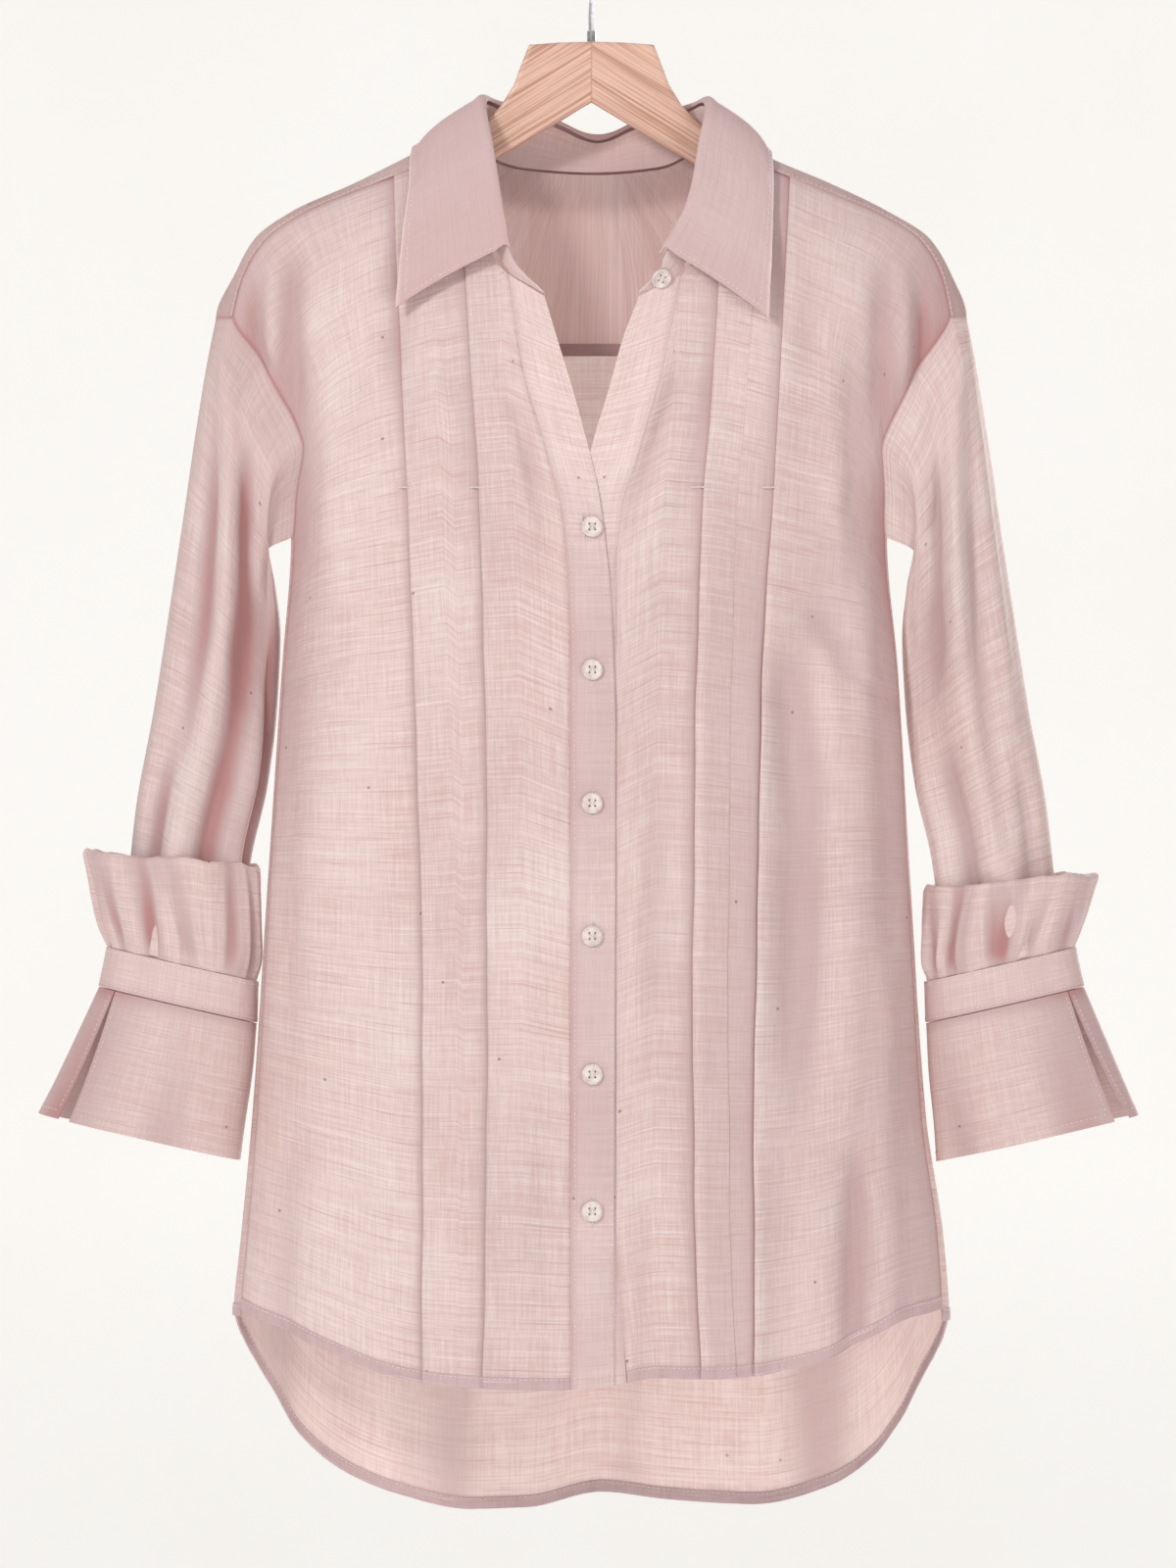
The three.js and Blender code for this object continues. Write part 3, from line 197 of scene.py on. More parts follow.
# How the leaf rolls over its fold: out of it and above it
COLLAR_ROLL = ((-0.9, -2.2), (-0.5, -0.6), (0.9, 1.0), (2.8, 1.9), (4.8, 1.4))
COLLAR_BULGE = (3, 5, 6, 6, 6, 6, 5, 6, 6, 6, 6, 5, 3)
SLEEVE_SECTIONS = (
    # outer, outer z, inner, inner z, centre, front, back, sink
    (241, -256, 193, -397, 2, 22, 22, 0),
    (247, -287, 211, -408, 5, 32, 28, 0.1),
    (254, -330, 203, -432, 13, 36, 32, 0.5),
    (262, -385, 200, -462, 16, 37, 34, 0.6),
    (271, -444, 202, -505, 17, 36, 34, 0.45),
    (281, -509, 208, -556, 13, 34, 33, 0.2),
    (292, -570, 219, -606, 7, 32, 31, 0),
    (298, -622, 223.5, -648, 5, 28, 28, 0),
    (306.8, -659.5, 218.4, -680.5, 5, 23.6, 23.6, 0),
)
PUFF_RINGS = (
    # x, z, tilt, across, depth, gather
    (262.5, -671.5, 13, 48.4, 26.6, 0.6),
    (263, -659, 12, 51, 30, 2.2),
    (265, -640, 9, 53, 34, 1.8),
    (267, -619, 6, 54.5, 38, 1),
    (268.5, -606, 5, 55.5, 40, 0.6),
    (268.5, -604, 5, 53.8, 38.3, 0.6),
    (268.5, -607, 5, 52.2, 36.7, 0.6),
    (268.5, -620, 5, 51.2, 35.7, 0.5),
)
CUFF_BAND_RINGS = ((262.5, -672, 13, 49, 27), (265.5, -697.5, 13, 51.5, 28.5))
FLARE_RINGS = (
    # x, z, tilt, across, depth, opening in degrees
    (265.6, -698.3, 13, 51.5, 28.5, 1),
    (273, -728, 13, 57, 34, 6),
    (282, -760, 13, 62, 39, 10),
    (288.5, -783, 13, 66, 42, 13),
)
CUFF_MIDDLE = 5
PUFF_SETTLE = {Side.RIGHT: 0.0, Side.LEFT: 14.0}
VENT_ANGLE = math.radians(38)
BUTTON_HEIGHTS = (-392.5, -483.5, -568.5, -653, -741, -828)
BUTTON_PITCH = 87.0
BUTTON_COUNT = 7
FACE_GAP = 0.05


class Curve:
    """A smooth line with no overshoot through a table of places and values."""

    def __init__(self, rows: Iterable[Sequence[float]], key: int = 0, value: int = 1) -> None:
        """Prepare the line.

        Args:
            rows: the table, one row for each known place.
            key: the column that holds the place.
            value: the column that holds the value.
        """
        knots = sorted(rows, key=lambda row: row[key])
        self.at = np.array([row[key] for row in knots], dtype=float)
        self.value = np.array([row[value] for row in knots], dtype=float)
        slope = np.diff(self.value) / np.diff(self.at)
        before, after = slope[:-1], slope[1:]
        same_way = before * after > 0
        harmonic = np.where(same_way, 2 * before * after / np.where(same_way, before + after, 1), 0)
        self.tangent = np.concatenate([slope[:1], harmonic, slope[-1:]])

    def __call__(self, where: np.ndarray | float) -> np.ndarray:
        """Return the value at each place.

        Args:
            where: the places to read.

        Returns:
            The values, in the shape of the places.
        """
        t = np.clip(np.asarray(where, dtype=float), self.at[0], self.at[-1])
        i = np.clip(np.searchsorted(self.at, t, side="right") - 1, 0, len(self.at) - 2)
        span = self.at[i + 1] - self.at[i]
        f = (t - self.at[i]) / span
        g = 1 - f
        rise = (1 + 2 * f) * g * g * self.value[i] + f * g * g * span * self.tangent[i]
        fall = f * f * (3 - 2 * f) * self.value[i + 1] - f * f * g * span * self.tangent[i + 1]
        return rise + fall


def lerp(a: np.ndarray | float, b: np.ndarray | float, f: np.ndarray | float) -> np.ndarray:
    """Return what lies the part f of the way from a to b.

    Args:
        a: the start.
        b: the end.
        f: the part of the way.

    Returns:
        The value in between.
    """
    return np.asarray(a) + (np.asarray(b) - np.asarray(a)) * f


def smooth(value: np.ndarray | float, low: float, high: float) -> np.ndarray:
    """Return a soft step from 0 at low to 1 at high.

    Args:
        value: where to read the step.
        low: where it starts.
        high: where it ends.

    Returns:
        The height of the step.
    """
    t = np.clip((np.asarray(value, dtype=float) - low) / (high - low), 0, 1)
    return t * t * (3 - 2 * t)


def bell(away: Grid | float, width: Grid | float) -> Grid:
    """Return a soft hump that is 1 in its middle.

    Args:
        away: how far off its middle.
        width: where it has come down to 0.37.

    Returns:
        The height of the hump.
    """
    return np.exp(-((away / width) ** 2))


def unit(vectors: np.ndarray) -> np.ndarray:
    """Return the vectors at length 1.

    Args:
        vectors: an array whose last axis holds x, y and z.

    Returns:
        The same directions at unit length.
    """
    length = np.linalg.norm(vectors, axis=-1, keepdims=True)
    return vectors / np.maximum(length, 1e-9)


def sway(place: np.ndarray | float, seed: float) -> np.ndarray:
    """Return a slow uneven wave between about -1 and 1.

    Args:
        place: where to read it, in radians of its slowest part.
        seed: shifts the wave, so that no two are alike.

    Returns:
        The wave's height.
    """
    place = np.asarray(place, dtype=float)
    waves = ((0.55, 1.0, 1.0), (0.3, 2.3, 1.7), (0.15, 5.1, 2.9))
    return sum(height * np.sin(rate * place + shift * seed) for height, rate, shift in waves)


def spline(points: np.ndarray, where: np.ndarray) -> np.ndarray:
    """Return places on a centripetal curve through some points.

    Args:
        points: the points, one in each row.
        where: parts of the way, from 0 to 1, equal for each span.

    Returns:
        One point for each part.
    """
    points = np.asarray(points, dtype=float)
    padded = np.vstack([2 * points[0] - points[1], points, 2 * points[-1] - points[-2]])
    spans = len(points) - 1
    place = np.clip(np.asarray(where, dtype=float), 0, 1) * spans
    i = np.clip(place.astype(int), 0, spans - 1)
    f = (place - i)[:, None]
    p0, p1, p2, p3 = padded[i], padded[i + 1], padded[i + 2], padded[i + 3]
    d0 = np.sqrt(np.linalg.norm(p1 - p0, axis=1))[:, None]
    d1 = np.sqrt(np.linalg.norm(p2 - p1, axis=1))[:, None]
    d2 = np.sqrt(np.linalg.norm(p3 - p2, axis=1))[:, None]
    t1 = ((p1 - p0) / d0 - (p2 - p0) / (d0 + d1) + (p2 - p1) / d1) * d1
    t2 = ((p2 - p1) / d1 - (p3 - p1) / (d1 + d2) + (p3 - p2) / d2) * d1
    return p1 + t1 * f + (-3 * p1 + 3 * p2 - 2 * t1 - t2) * f**2 + (2 * p1 - 2 * p2 + t1 + t2) * f**3


def resample(grid: Grid, rows: int, columns: int) -> Grid:
    """Return a grid of points drawn more finely through the same places.

    Args:
        grid: rows of points.
        rows: how many rows to return.
        columns: how many columns to return.

    Returns:
        The finer grid.
    """
    across = np.linspace(0, 1, columns)
    down = np.linspace(0, 1, rows)
    wide = np.stack([spline(row, across) for row in grid])
    return np.stack([spline(wide[:, k], down) for k in range(columns)], axis=1)


@dataclass(frozen=True)
class Crease:
    """A soft trough or ridge of the cloth, drawn from one place to another.

    The width is at half its depth, on the near and the far side of the line.
    """

    start_x: float
    start_z: float
    end_x: float
    end_z: float
    rise: float
    width: float
    far_width: float = 0.0
    bow: float = 0.0
    keep_end: bool = False
    keep_start: bool = False

    def height(self, x: Grid, z: Grid) -> Grid:
        """Return how far this crease lifts the cloth at each place.

        Args:
            x: places across.
            z: places up.

        Returns:
            The lift, negative in a trough.
        """
        along = np.array([self.end_x - self.start_x, self.end_z - self.start_z])
        length = float(np.hypot(*along))
        along = along / length
        u = ((x - self.start_x) * along[0] + (z - self.start_z) * along[1]) / length
        v = -(x - self.start_x) * along[1] + (z - self.start_z) * along[0]
        v = v - self.bow * 4 * u * (1 - u)
        spread = np.where(v > 0, self.width, self.far_width or self.width)
        head = 1.0 if self.keep_start else smooth(u, -0.02, 0.32)
        tail = 1.0 if self.keep_end else 1 - smooth(u, 0.6, 1.02)
        inside = np.where((u > -0.3) & (u < 1.3), 1.0, 0.0)
        return self.rise * bell(v, spread) * head * tail * inside


# Creases: start x and z, end x and z, rise, width, far width, bow, whether the end and the start are kept
FRONT_CREASES = (
    # From the right shoulder and armhole
    (-190, -200, -193, -345, -5.5, 7, 10), (-203, -205, -207, -300, 3.2, 7, 6),
    (-217, -222, -214, -330, -4.2, 6, 8), (-181, -250, -188, -470, -4.0, 9, 14, 4),
    (-171, -260, -170, -480, 2.8, 14), (-196, -330, -193, -600, -3.5, 10, 8),
    (-110, -200, -128, -300, -2.6, 12, 10), (-131, -250, -112, -345, -2.2, 13, 10),
    # Below the right collar point and beside the band
    (-70, -252, -28, -402, -2.8, 9, 6, 3), (-60, -262, -34, -362, 2.4, 7, 6),
    (-92, -262, -62, -420, -1.8, 8, 9), (-50, -300, -22, -440, -2.2, 6, 5),
    (-40, -420, -46, -620, -1.5, 8, 10),
    # Right bust and side
    (-143, -455, -156, -545, 3.0, 9, 12), (-140, -480, -172, -570, -2.6, 8, 10),
    (-128, -430, -134, -520, -1.8, 8, 8), (-180, -520, -172, -820, 3.5, 14, 20),
    (-197, -480, -194, -760, -3.2, 10, 8), (-150, -700, -158, -900, -2.4, 16, 12),
    (-188, -760, -196, -890, -2.6, 10, 10, 0, True), (-134, -780, -138, -930, 2.0, 12, 9, 0, True),
    (-90, -560, -88, -830, -1.3, 10, 8), (-40, -640, -44, -880, 1.6, 10, 12),
    (-28, -760, -32, -938, -2.0, 8, 8, 0, True), (-84, -820, -86, -938, 1.6, 10, 10, 0, True),
    # Left shoulder and armhole
    (187, -210, 184, -350, -4.6, 8, 8), (199, -215, 204, -320, 3.0, 7, 6),
    (212, -226, 208, -335, -4.0, 6, 6), (168, -250, 176, -450, -3.6, 10, 9, -4),
    (151, -240, 157, -420, 2.4, 12), (192, -330, 186, -560, -3.8, 9, 9),
    (138, -200, 140, -320, -2.0, 12, 8), (112, -190, 120, -268, -1.6, 9, 8),
    # Drape from the left collar point down to the first button
    (72, -262, 18, -418, -3.6, 8, 6, -5), (56, -262, 26, -372, 2.6, 7, 6, -3),
    (86, -262, 46, -425, -2.8, 8, 7, -4), (64, -300, 32, -440, 2.0, 7, 7), (60, -470, 34, -400, -1.4, 8, 8),
    # Left bust and side
    (122, -455, 134, -600, -4.4, 12, 15), (147, -450, 158, -560, 3.6, 9, 12),
    (136, -440, 176, -492, -2.4, 7, 7), (134, -560, 128, -800, -4.4, 16, 19, 5),
    (158, -560, 164, -830, 4.0, 14, 13), (186, -480, 193, -700, -3.4, 9, 9),
    (188, -640, 184, -860, 3.0, 11, 10), (172, -770, 168, -912, -5.2, 7, 13, 0, True),
    (186, -800, 189, -905, 4.2, 10, 10, 0, True), (118, -760, 116, -930, -2.4, 14, 9, 0, True),
    (44, -520, 40, -760, -2.2, 8, 12), (30, -560, 28, -740, 1.6, 7, 7),
    (52, -740, 48, -936, 2.0, 10, 9, 0, True), (32, -800, 36, -936, -2.2, 7, 9, 0, True),
    (86, -600, 88, -860, 1.4, 11, 9),
    # Darts, and the gaps beside the top band
    (-193, -494, -141, -472, -1.3, 2.6, 4, 0, False, True),
    (198, -508, 143, -469, -1.3, 4, 2.6, 0, False, True), (16.5, -385, 17.5, -480, -1.8, 2.6, 3.2),
    (16, -838, 20, -940, -2.4, 3, 4, 0, True),
    # Short cross creases that pull on the buttons
    (14, -392, 48, -384, -1.1, 5, 5), (-14, -480, -44, -474, -0.9, 5, 5), (14, -570, 40, -577, -1.0, 5, 5),
    (-14, -652, -42, -658, -0.9, 5, 5), (14, -742, 44, -735, -1.0, 5, 5),
)
# The back hangs from the yoke in long soft folds
BACK_CREASES = (
    (-160, -290, -150, -620, -4.0, 16, 12), (-182, -300, -190, -560, 3.0, 12, 12),
    (-206, -285, -198, -400, -4.5, 8, 10), (204, -285, 196, -410, -4.4, 9, 9),
    (160, -300, 170, -600, 3.4, 14, 11), (138, -285, 132, -560, -3.6, 12, 14),
    (-100, -330, -84, -700, 3.2, 15, 18), (-60, -300, -52, -640, -3.0, 13, 15),
    (-18, -380, -28, -820, 2.6, 16, 14), (50, -420, 64, -860, -3.6, 16, 18),
    (96, -360, 92, -780, 3.0, 14, 12), (-140, -640, -146, -960, 3.6, 16, 20, 0, True),
    (-70, -760, -88, -1010, -4.5, 17, 20, 0, True), (-20, -800, -24, -1020, 4.0, 17, 15, 0, True),
    (30, -780, 24, -1012, -4.0, 16, 18, 0, True), (84, -740, 92, -1016, 4.5, 18, 18, 0, True),
    (146, -720, 150, -1006, -4.0, 16, 16, 0, True), (188, -620, 196, -930, 3.0, 12, 12, 0, True),
    (-196, -600, -204, -930, -3.4, 12, 12, 0, True), (-120, -450, -60, -470, -1.2, 7, 7),
    (70, -560, 140, -575, -1.2, 7, 8),
)


@dataclass
class Places:
    """Places on the body form: how far round, how high and how far off it, as equal grids."""

    turn: Grid
    z: Grid
    lift: Grid

    @classmethod
    def of(cls, turn: Grid | float, z: Grid | float, lift: Grid | float = 0.0) -> "Places":
        """Return places whose three grids have one shape.

        Args:
            turn: how far round, in radians. 0 is +X and a quarter is the front.
            z: the heights.
            lift: how far off the form.

        Returns:
            The places.
        """
        grids = np.broadcast_arrays(*(np.asarray(value, float) for value in (turn, z, lift)))
        return cls(*(grid.copy() for grid in grids))

    def mixed(self, other: "Places", f: Grid | float) -> "Places":
        """Return the places the part f of the way to some others.

        Args:
            other: the places to move toward.
            f: the part of the way.

        Returns:
            The places in between.
        """
        return Places.of(
            lerp(self.turn, other.turn, f), lerp(self.z, other.z, f), lerp(self.lift, other.lift, f)
        )

    def part(self, rows: slice | int, columns: slice | int = slice(None)) -> "Places":
        """Return some rows and columns of the places.

        Args:
            rows: the rows to keep.
            columns: the columns to keep.

        Returns:
            Those places.
        """
        return Places(self.turn[rows, columns], self.z[rows, columns], self.lift[rows, columns])


class BodyForm:
    """The form that the blouse hangs in, and the folds on it."""

    bend = 0.002
    step = 0.5

    def __init__(self) -> None:
        """Prepare the form from its tables."""
        self.left = Curve(BODY_SECTIONS, 0, 1)
        self.right = Curve(BODY_SECTIONS, 0, 2)
        self.ahead = Curve(BODY_SECTIONS, 0, 3)
        self.behind = Curve(BODY_SECTIONS, 0, 4)
        self.creases = ((True, FRONT_CREASES), (False, BACK_CREASES))

    def middle(self, z: Grid | float) -> Grid:
        """Return the X of the body's middle at a height z."""
        return (self.right(z) - self.left(z)) / 2

    def half(self, z: Grid | float) -> Grid:
        """Return half the body's width at a height z."""
        return (self.right(z) + self.left(z)) / 2

    def x_at(self, turn: Grid | float, z: Grid | float) -> Grid:
        """Return the X of the place at a turn and a height z."""
        return self.middle(z) + self.half(z) * np.cos(turn)

    def turn_at(self, x: Grid | float, z: Grid | float, front: bool = True) -> Grid:
        """Return the turn of the place at x and z.

        Args:
            x: the place across.
            z: the height.
            front: whether it is on the front.

        Returns:
            The turn, in radians.
        """
        angle = np.arccos(np.clip((x - self.middle(z)) / self.half(z), -1, 1))
        return angle if front else TURN - angle

    def plain(self, turn: Grid, z: Grid) -> Grid:
        """Return the points of the form without its folds.

        Args:
            turn: how far round.
            z: the heights.

        Returns:
            The points.
        """
        sine = np.sin(turn)
        depth = np.where(sine > 0, self.ahead(z), self.behind(z))
        return np.stack([self.x_at(turn, z), -depth * sine, z + 0 * turn], axis=-1)

    def rise(self, x: Grid, z: Grid, front: Grid) -> Grid:
        """Return how far the folds lift the cloth.

        Args:
            x: places across.
            z: heights.
            front: whether each place is on the front.

        Returns:
            The lift, negative in a trough.
        """
        total = np.zeros_like(x)
        for side, at_x, at_z, width, reach, lift, lean in LARGE_FOLDS:
            down = (z - at_z) / reach
            across = (x - at_x - lean * (z - at_z)) / width
            total += np.where(front == (side > 0), lift * np.exp(-across * across - down * down), 0)
        for ahead, rows in self.creases:
            for row in rows:
                total += np.where(front == ahead, FOLD_DEPTH * Crease(*row).height(x, z), 0)
        return total

    def point(self, places: Places, more: float = 0.0) -> Grid:
        """Return the points at some places.

        Args:
            places: where, on the form.
            more: a lift added to all of them.

        Returns:
            The points, in millimetres.
        """
        turn, z = places.turn, places.z
        around = self.plain(turn + self.bend, z) - self.plain(turn - self.bend, z)
        down = self.plain(turn, z - self.step) - self.plain(turn, z + self.step)
        outward = unit(np.cross(around, down))
        sine = np.sin(turn)
        here = self.plain(turn, z)
        rise = self.rise(here[..., 0], z, sine > 0) * np.minimum(1, np.abs(sine) * 2)
        return here + outward * (places.lift + more + rise)[..., None]


def grid_normals(grid: Grid, closed: bool = False) -> Grid:
    """Return the unit normals of a grid of points.

    Args:
        grid: rows of points.
        closed: whether the last column meets the first.

    Returns:
        A normal for each point.
    """
    if closed:
        across = np.roll(grid, -1, axis=1) - np.roll(grid, 1, axis=1)
    else:
        across = np.gradient(grid, axis=1)
    down = np.gradient(grid, axis=0)
    return unit(np.cross(across, down))


def outer_face(grid: Grid, lift: float, middle_x: float = 0.0, closed: bool = False) -> tuple[Grid, Grid]:
    """Return the points of a piece's outer face, and the way out at each.

    Args:
        grid: the middle of its cloth, in millimetres.
        lift: how far the face is off it.
        middle_x: the X of the upright line that it goes round.
        closed: whether its last column meets its first.

    Returns:
        The points and the directions.
    """
    out = grid_normals(grid, closed)
    away = (grid[..., 0] - middle_x) * 0.1 * out[..., 0] + grid[..., 1] * out[..., 1]
    out = out * (1 if away.sum() >= 0 else -1)
    return grid + out * lift, out


def arc_lengths(grid: Grid, axis: int, closed: bool = False) -> np.ndarray:
    """Return the mean distance along a grid, in metres.

    Args:
        grid: rows of points, in millimetres.
        axis: 0 down the rows, 1 across the columns.
        closed: whether the last column meets the first.

    Returns:
        The distance to each row or column, from 0.
    """
    if closed:
        grid = np.concatenate([grid, grid[:, :1]], axis=1)
    steps = np.linalg.norm(np.diff(grid, axis=axis), axis=-1).mean(axis=1 - axis)
    return np.concatenate([[0], np.cumsum(steps)]) * MM


@dataclass
class Weave:
    """How the cloth's threads lie on a piece: across and down, in metres, for each grid point."""

    across: Grid
    down: Grid

    @classmethod
    def along(cls, grid: Grid, closed: bool = False, shift: Pair = (0.0, 0.0)) -> "Weave":
        """Return threads that follow the grid's own rows and columns.

        Args:
            grid: rows of points.
            closed: whether the last column meets the first.
            shift: moves the pattern, so that no two pieces match.

        Returns:
            The weave.
        """
        u = arc_lengths(grid, 1, closed) + shift[0]
        v = arc_lengths(grid, 0, closed=False) + shift[1]
        return cls(np.tile(u, (len(v), 1)), np.tile(v[:, None], (1, len(u))))


def linked(name: str, data: bpy.types.ID) -> bpy.types.Object:
    """Return a new object in the scene, at the origin.

    Args:
        name: its name.
        data: its mesh, light or camera.

    Returns:
        The object.
    """
    thing = bpy.data.objects.new(name, data)
    bpy.context.scene.collection.objects.link(thing)
    return thing


def shell(
    name: str,
    grid: Grid,
    thickness: float,
    closed: bool = False,
    weave: Weave | None = None,
    painted_shade_and_tint: Grid | None = None,
) -> bpy.types.Object:
    """Make a thin closed sheet whose middle is a grid of points.

    Args:
        name: the name of the piece.
        grid: rows of points, in millimetres.
        thickness: the cloth's thickness, in millimetres.
        closed: whether the last column meets the first.
        weave: how the threads lie.
        painted_shade_and_tint: the painted shade at each point, with a little random tint in places, from 0
            to 1.

    Returns:
        The new object, at the origin.
    """
    rows, columns = grid.shape[:2]
    normals = grid_normals(grid, closed) * thickness / 2
    points = np.concatenate([(grid + normals).reshape(-1, 3), (grid - normals).reshape(-1, 3)]) * MM
    spans = columns if closed else columns - 1
    i, j = np.meshgrid(np.arange(rows - 1), np.arange(spans), indexing="ij")
    i, j = i.ravel(), j.ravel()
    other = rows * columns

    def corner(row: np.ndarray, column: np.ndarray, side: int) -> np.ndarray:
        """Return the number of a vertex of the sheet."""
        return side * other + row * columns + column % columns

    faces = []
    marks = []

    def add(corners: list[tuple[np.ndarray, np.ndarray, int]]) -> None:
        """Add one strip of faces, with the grid place of each of their corners."""
        faces.append(np.stack([corner(*c) for c in corners], axis=1))
        places_of = [np.stack([row + 0 * column, column + 0 * row], axis=-1) for row, column, _ in corners]
        marks.append(np.stack(places_of, axis=1))

    add([(i, j, 0), (i + 1, j, 0), (i + 1, j + 1, 0), (i, j + 1, 0)])
    add([(i, j, 1), (i, j + 1, 1), (i + 1, j + 1, 1), (i + 1, j, 1)])
    edge = np.arange(spans)
    top, bottom = np.zeros_like(edge), np.full_like(edge, rows - 1)
    add([(top, edge, 0), (top, edge + 1, 0), (top, edge + 1, 1), (top, edge, 1)])
    add([(bottom, edge, 0), (bottom, edge, 1), (bottom, edge + 1, 1), (bottom, edge + 1, 0)])
    if not closed:
        side = np.arange(rows - 1)
        first, last = np.zeros_like(side), np.full_like(side, columns - 1)
        add([(side, first, 0), (side, first, 1), (side + 1, first, 1), (side + 1, first, 0)])
        add([(side, last, 0), (side + 1, last, 0), (side + 1, last, 1), (side, last, 1)])
    quads = np.concatenate(faces)
    places = np.concatenate(marks)
    a, b, c, d = (points[quads[:, k]] for k in range(4))
    middle = (a + b + c + d) / 4
    volume = float(np.einsum("ij,ij->i", middle, np.cross(c - a, d - b)).sum())
    if volume < 0:
        quads, places = quads[:, ::-1], places[:, ::-1]
    mesh = bpy.data.meshes.new(name)
    mesh.from_pydata(points.tolist(), [], quads.tolist())
    threads = weave or Weave.along(grid, closed)
    last_column = threads.across.shape[1] - 1
    rows_at = places[..., 0].ravel()
    columns_at = np.minimum(places[..., 1].ravel(), last_column)
    uv = np.stack([threads.across[rows_at, columns_at], threads.down[rows_at, columns_at]], axis=1)
    mesh.uv_layers.new(name="threads").data.foreach_set("uv", uv.ravel().astype(np.float32))
    # The tone attribute holds painted shade in creases, along seams and on shaded sides, with a little random
    # tint in places.
    depth = np.zeros((rows, columns)) if painted_shade_and_tint is None else np.clip(painted_shade_and_tint, 0, 1)
    layer = mesh.attributes.new("painted_shade_and_tint", "FLOAT", "POINT")
    layer.data.foreach_set("value", np.concatenate([depth.ravel(), depth.ravel()]).astype(np.float32))
    mesh.update()
    mesh.shade_smooth()
    mesh.set_sharp_from_angle(angle=SHARP_ANGLE)
    return linked(name, mesh)


Colour = tuple[float, float, float]
Socket = bpy.types.NodeSocket


class Nodes:
    """A helping hand for the nodes of one material."""

    def __init__(self, name: str) -> None:
        """Start an empty material.

        Args:
            name: the material's name.
        """
        self.material = bpy.data.materials.new(name)
        self.material.use_nodes = True
        self.tree = self.material.node_tree
        self.tree.nodes.clear()

    def add(self, kind: str, **settings: object) -> bpy.types.Node:
        """Add a node.

        Args:
            kind: its type, without the prefix.
            settings: its own settings.

        Returns:
            The node.
        """
        node = self.tree.nodes.new("ShaderNode" + kind)
        for key, value in settings.items():
            setattr(node, key, value)
        return node

    def feed(self, socket: Socket, source: object) -> None:
        """Link a socket, or set its value.

        Args:
            socket: the input.
            source: an output, a number or a colour.
        """
        if isinstance(source, bpy.types.NodeSocket):
            self.tree.links.new(source, socket)
        elif isinstance(source, tuple) and len(source) == 3 and socket.type == "RGBA":
            socket.default_value = (*source, 1)
        else:
            socket.default_value = source

    def sums(self, operation: str, a: object, b: object = 0.0) -> Socket:
        """Return the result of a sum of two values."""
        node = self.add("Math", operation=operation)
        self.feed(node.inputs[0], a)
        self.feed(node.inputs[1], b)
        return node.outputs[0]

    def plus(self, a: object, b: object) -> Socket:
        """Return two values added up."""
        return self.sums("ADD", a, b)

    def times(self, a: object, b: object) -> Socket:
        """Return one value times another."""
        return self.sums("MULTIPLY", a, b)

    def less(self, a: object, b: object) -> Socket:
        """Return one value less another."""
        return self.sums("SUBTRACT", a, b)

    def stretched(self, vector: Socket, scale: Colour) -> Socket:
        """Return a vector stretched by three factors."""
        node = self.add("VectorMath", operation="MULTIPLY")
        self.feed(node.inputs[0], vector)
        self.feed(node.inputs[1], scale)
        return node.outputs[0]

    def noise(self, vector: Socket, scale: Colour | float, detail: float = 2.0) -> Socket:
        """Return an uneven pattern, stretched by three factors or by one."""
        factors = scale if isinstance(scale, tuple) else (scale, scale, scale)
        node = self.add("TexNoise")
        self.feed(node.inputs["Vector"], self.stretched(vector, factors))
        node.inputs["Scale"].default_value = 1.0
        node.inputs["Detail"].default_value = detail
        return node.outputs["Fac"]

    def ramp(self, value: object, low: float, high: float) -> Socket:
        """Return a value stretched so that low is 0 and high is 1."""
        node = self.add("MapRange", interpolation_type="SMOOTHSTEP")
        self.feed(node.inputs["Value"], value)
        node.inputs["From Min"].default_value = low
        node.inputs["From Max"].default_value = high
        return node.outputs["Result"]

    def blend(self, part: object, a: object, b: object) -> Socket:
        """Return colour a moved toward colour b by a part."""
        node = self.add("Mix", data_type="RGBA")
        for k, source in ((0, part), (6, a), (7, b)):
            self.feed(node.inputs[k], source)
        return node.outputs[2]

    def layers(self, base: object, rows: Iterable[tuple[object, float, object]]) -> Socket:
        """Return a colour with others laid over it.

        Args:
            base: the colour beneath.
            rows: for each layer where it lies, its share and its colour.

        Returns:
            The colour.
        """
        colour = base
        for where, share, over in rows:
            colour = self.blend(self.times(where, share), colour, over)
        return colour

    def bump(self, height: Socket, strength: float, distance: float, below: Socket | None = None) -> Socket:
        """Return the normal of a relief.

        Args:
            height: the relief.
            strength: how much of it shows.
            distance: its depth, in metres.
            below: the normal that it lies on.

        Returns:
            The normal.
        """
        node = self.add("Bump")
        node.inputs["Strength"].default_value = strength
        node.inputs["Distance"].default_value = distance
        self.feed(node.inputs["Height"], height)
        if below:
            self.feed(node.inputs["Normal"], below)
        return node.outputs["Normal"]

    def face(self, **inputs: object) -> Socket:
        """Return a surface.

        Args:
            inputs: its inputs by name, with _ for a space.

        Returns:
            The shader.
        """
        node = self.add("BsdfPrincipled")
        for name, source in inputs.items():
            self.feed(node.inputs[name.replace("_", " ")], source)
        return node.outputs[0]

    def place(self) -> Socket:
        """Return the place on the piece, in metres."""
        return self.add("TexCoord").outputs["Object"]


@dataclass(frozen=True)
class Finish:
    """A finish, whose material is made once."""

    name: str

    def material(self) -> bpy.types.Material:
        """Return the material of this finish."""
        known = bpy.data.materials.get(self.name)
        if known:
            return known
        n = Nodes(self.name)
        output = n.add("OutputMaterial")
        n.feed(output.inputs["Surface"], self.shader(n))
        return n.material

    def shader(self, n: Nodes) -> Socket:
        """Return the shader, which each finish mixes for itself."""
        raise NotImplementedError


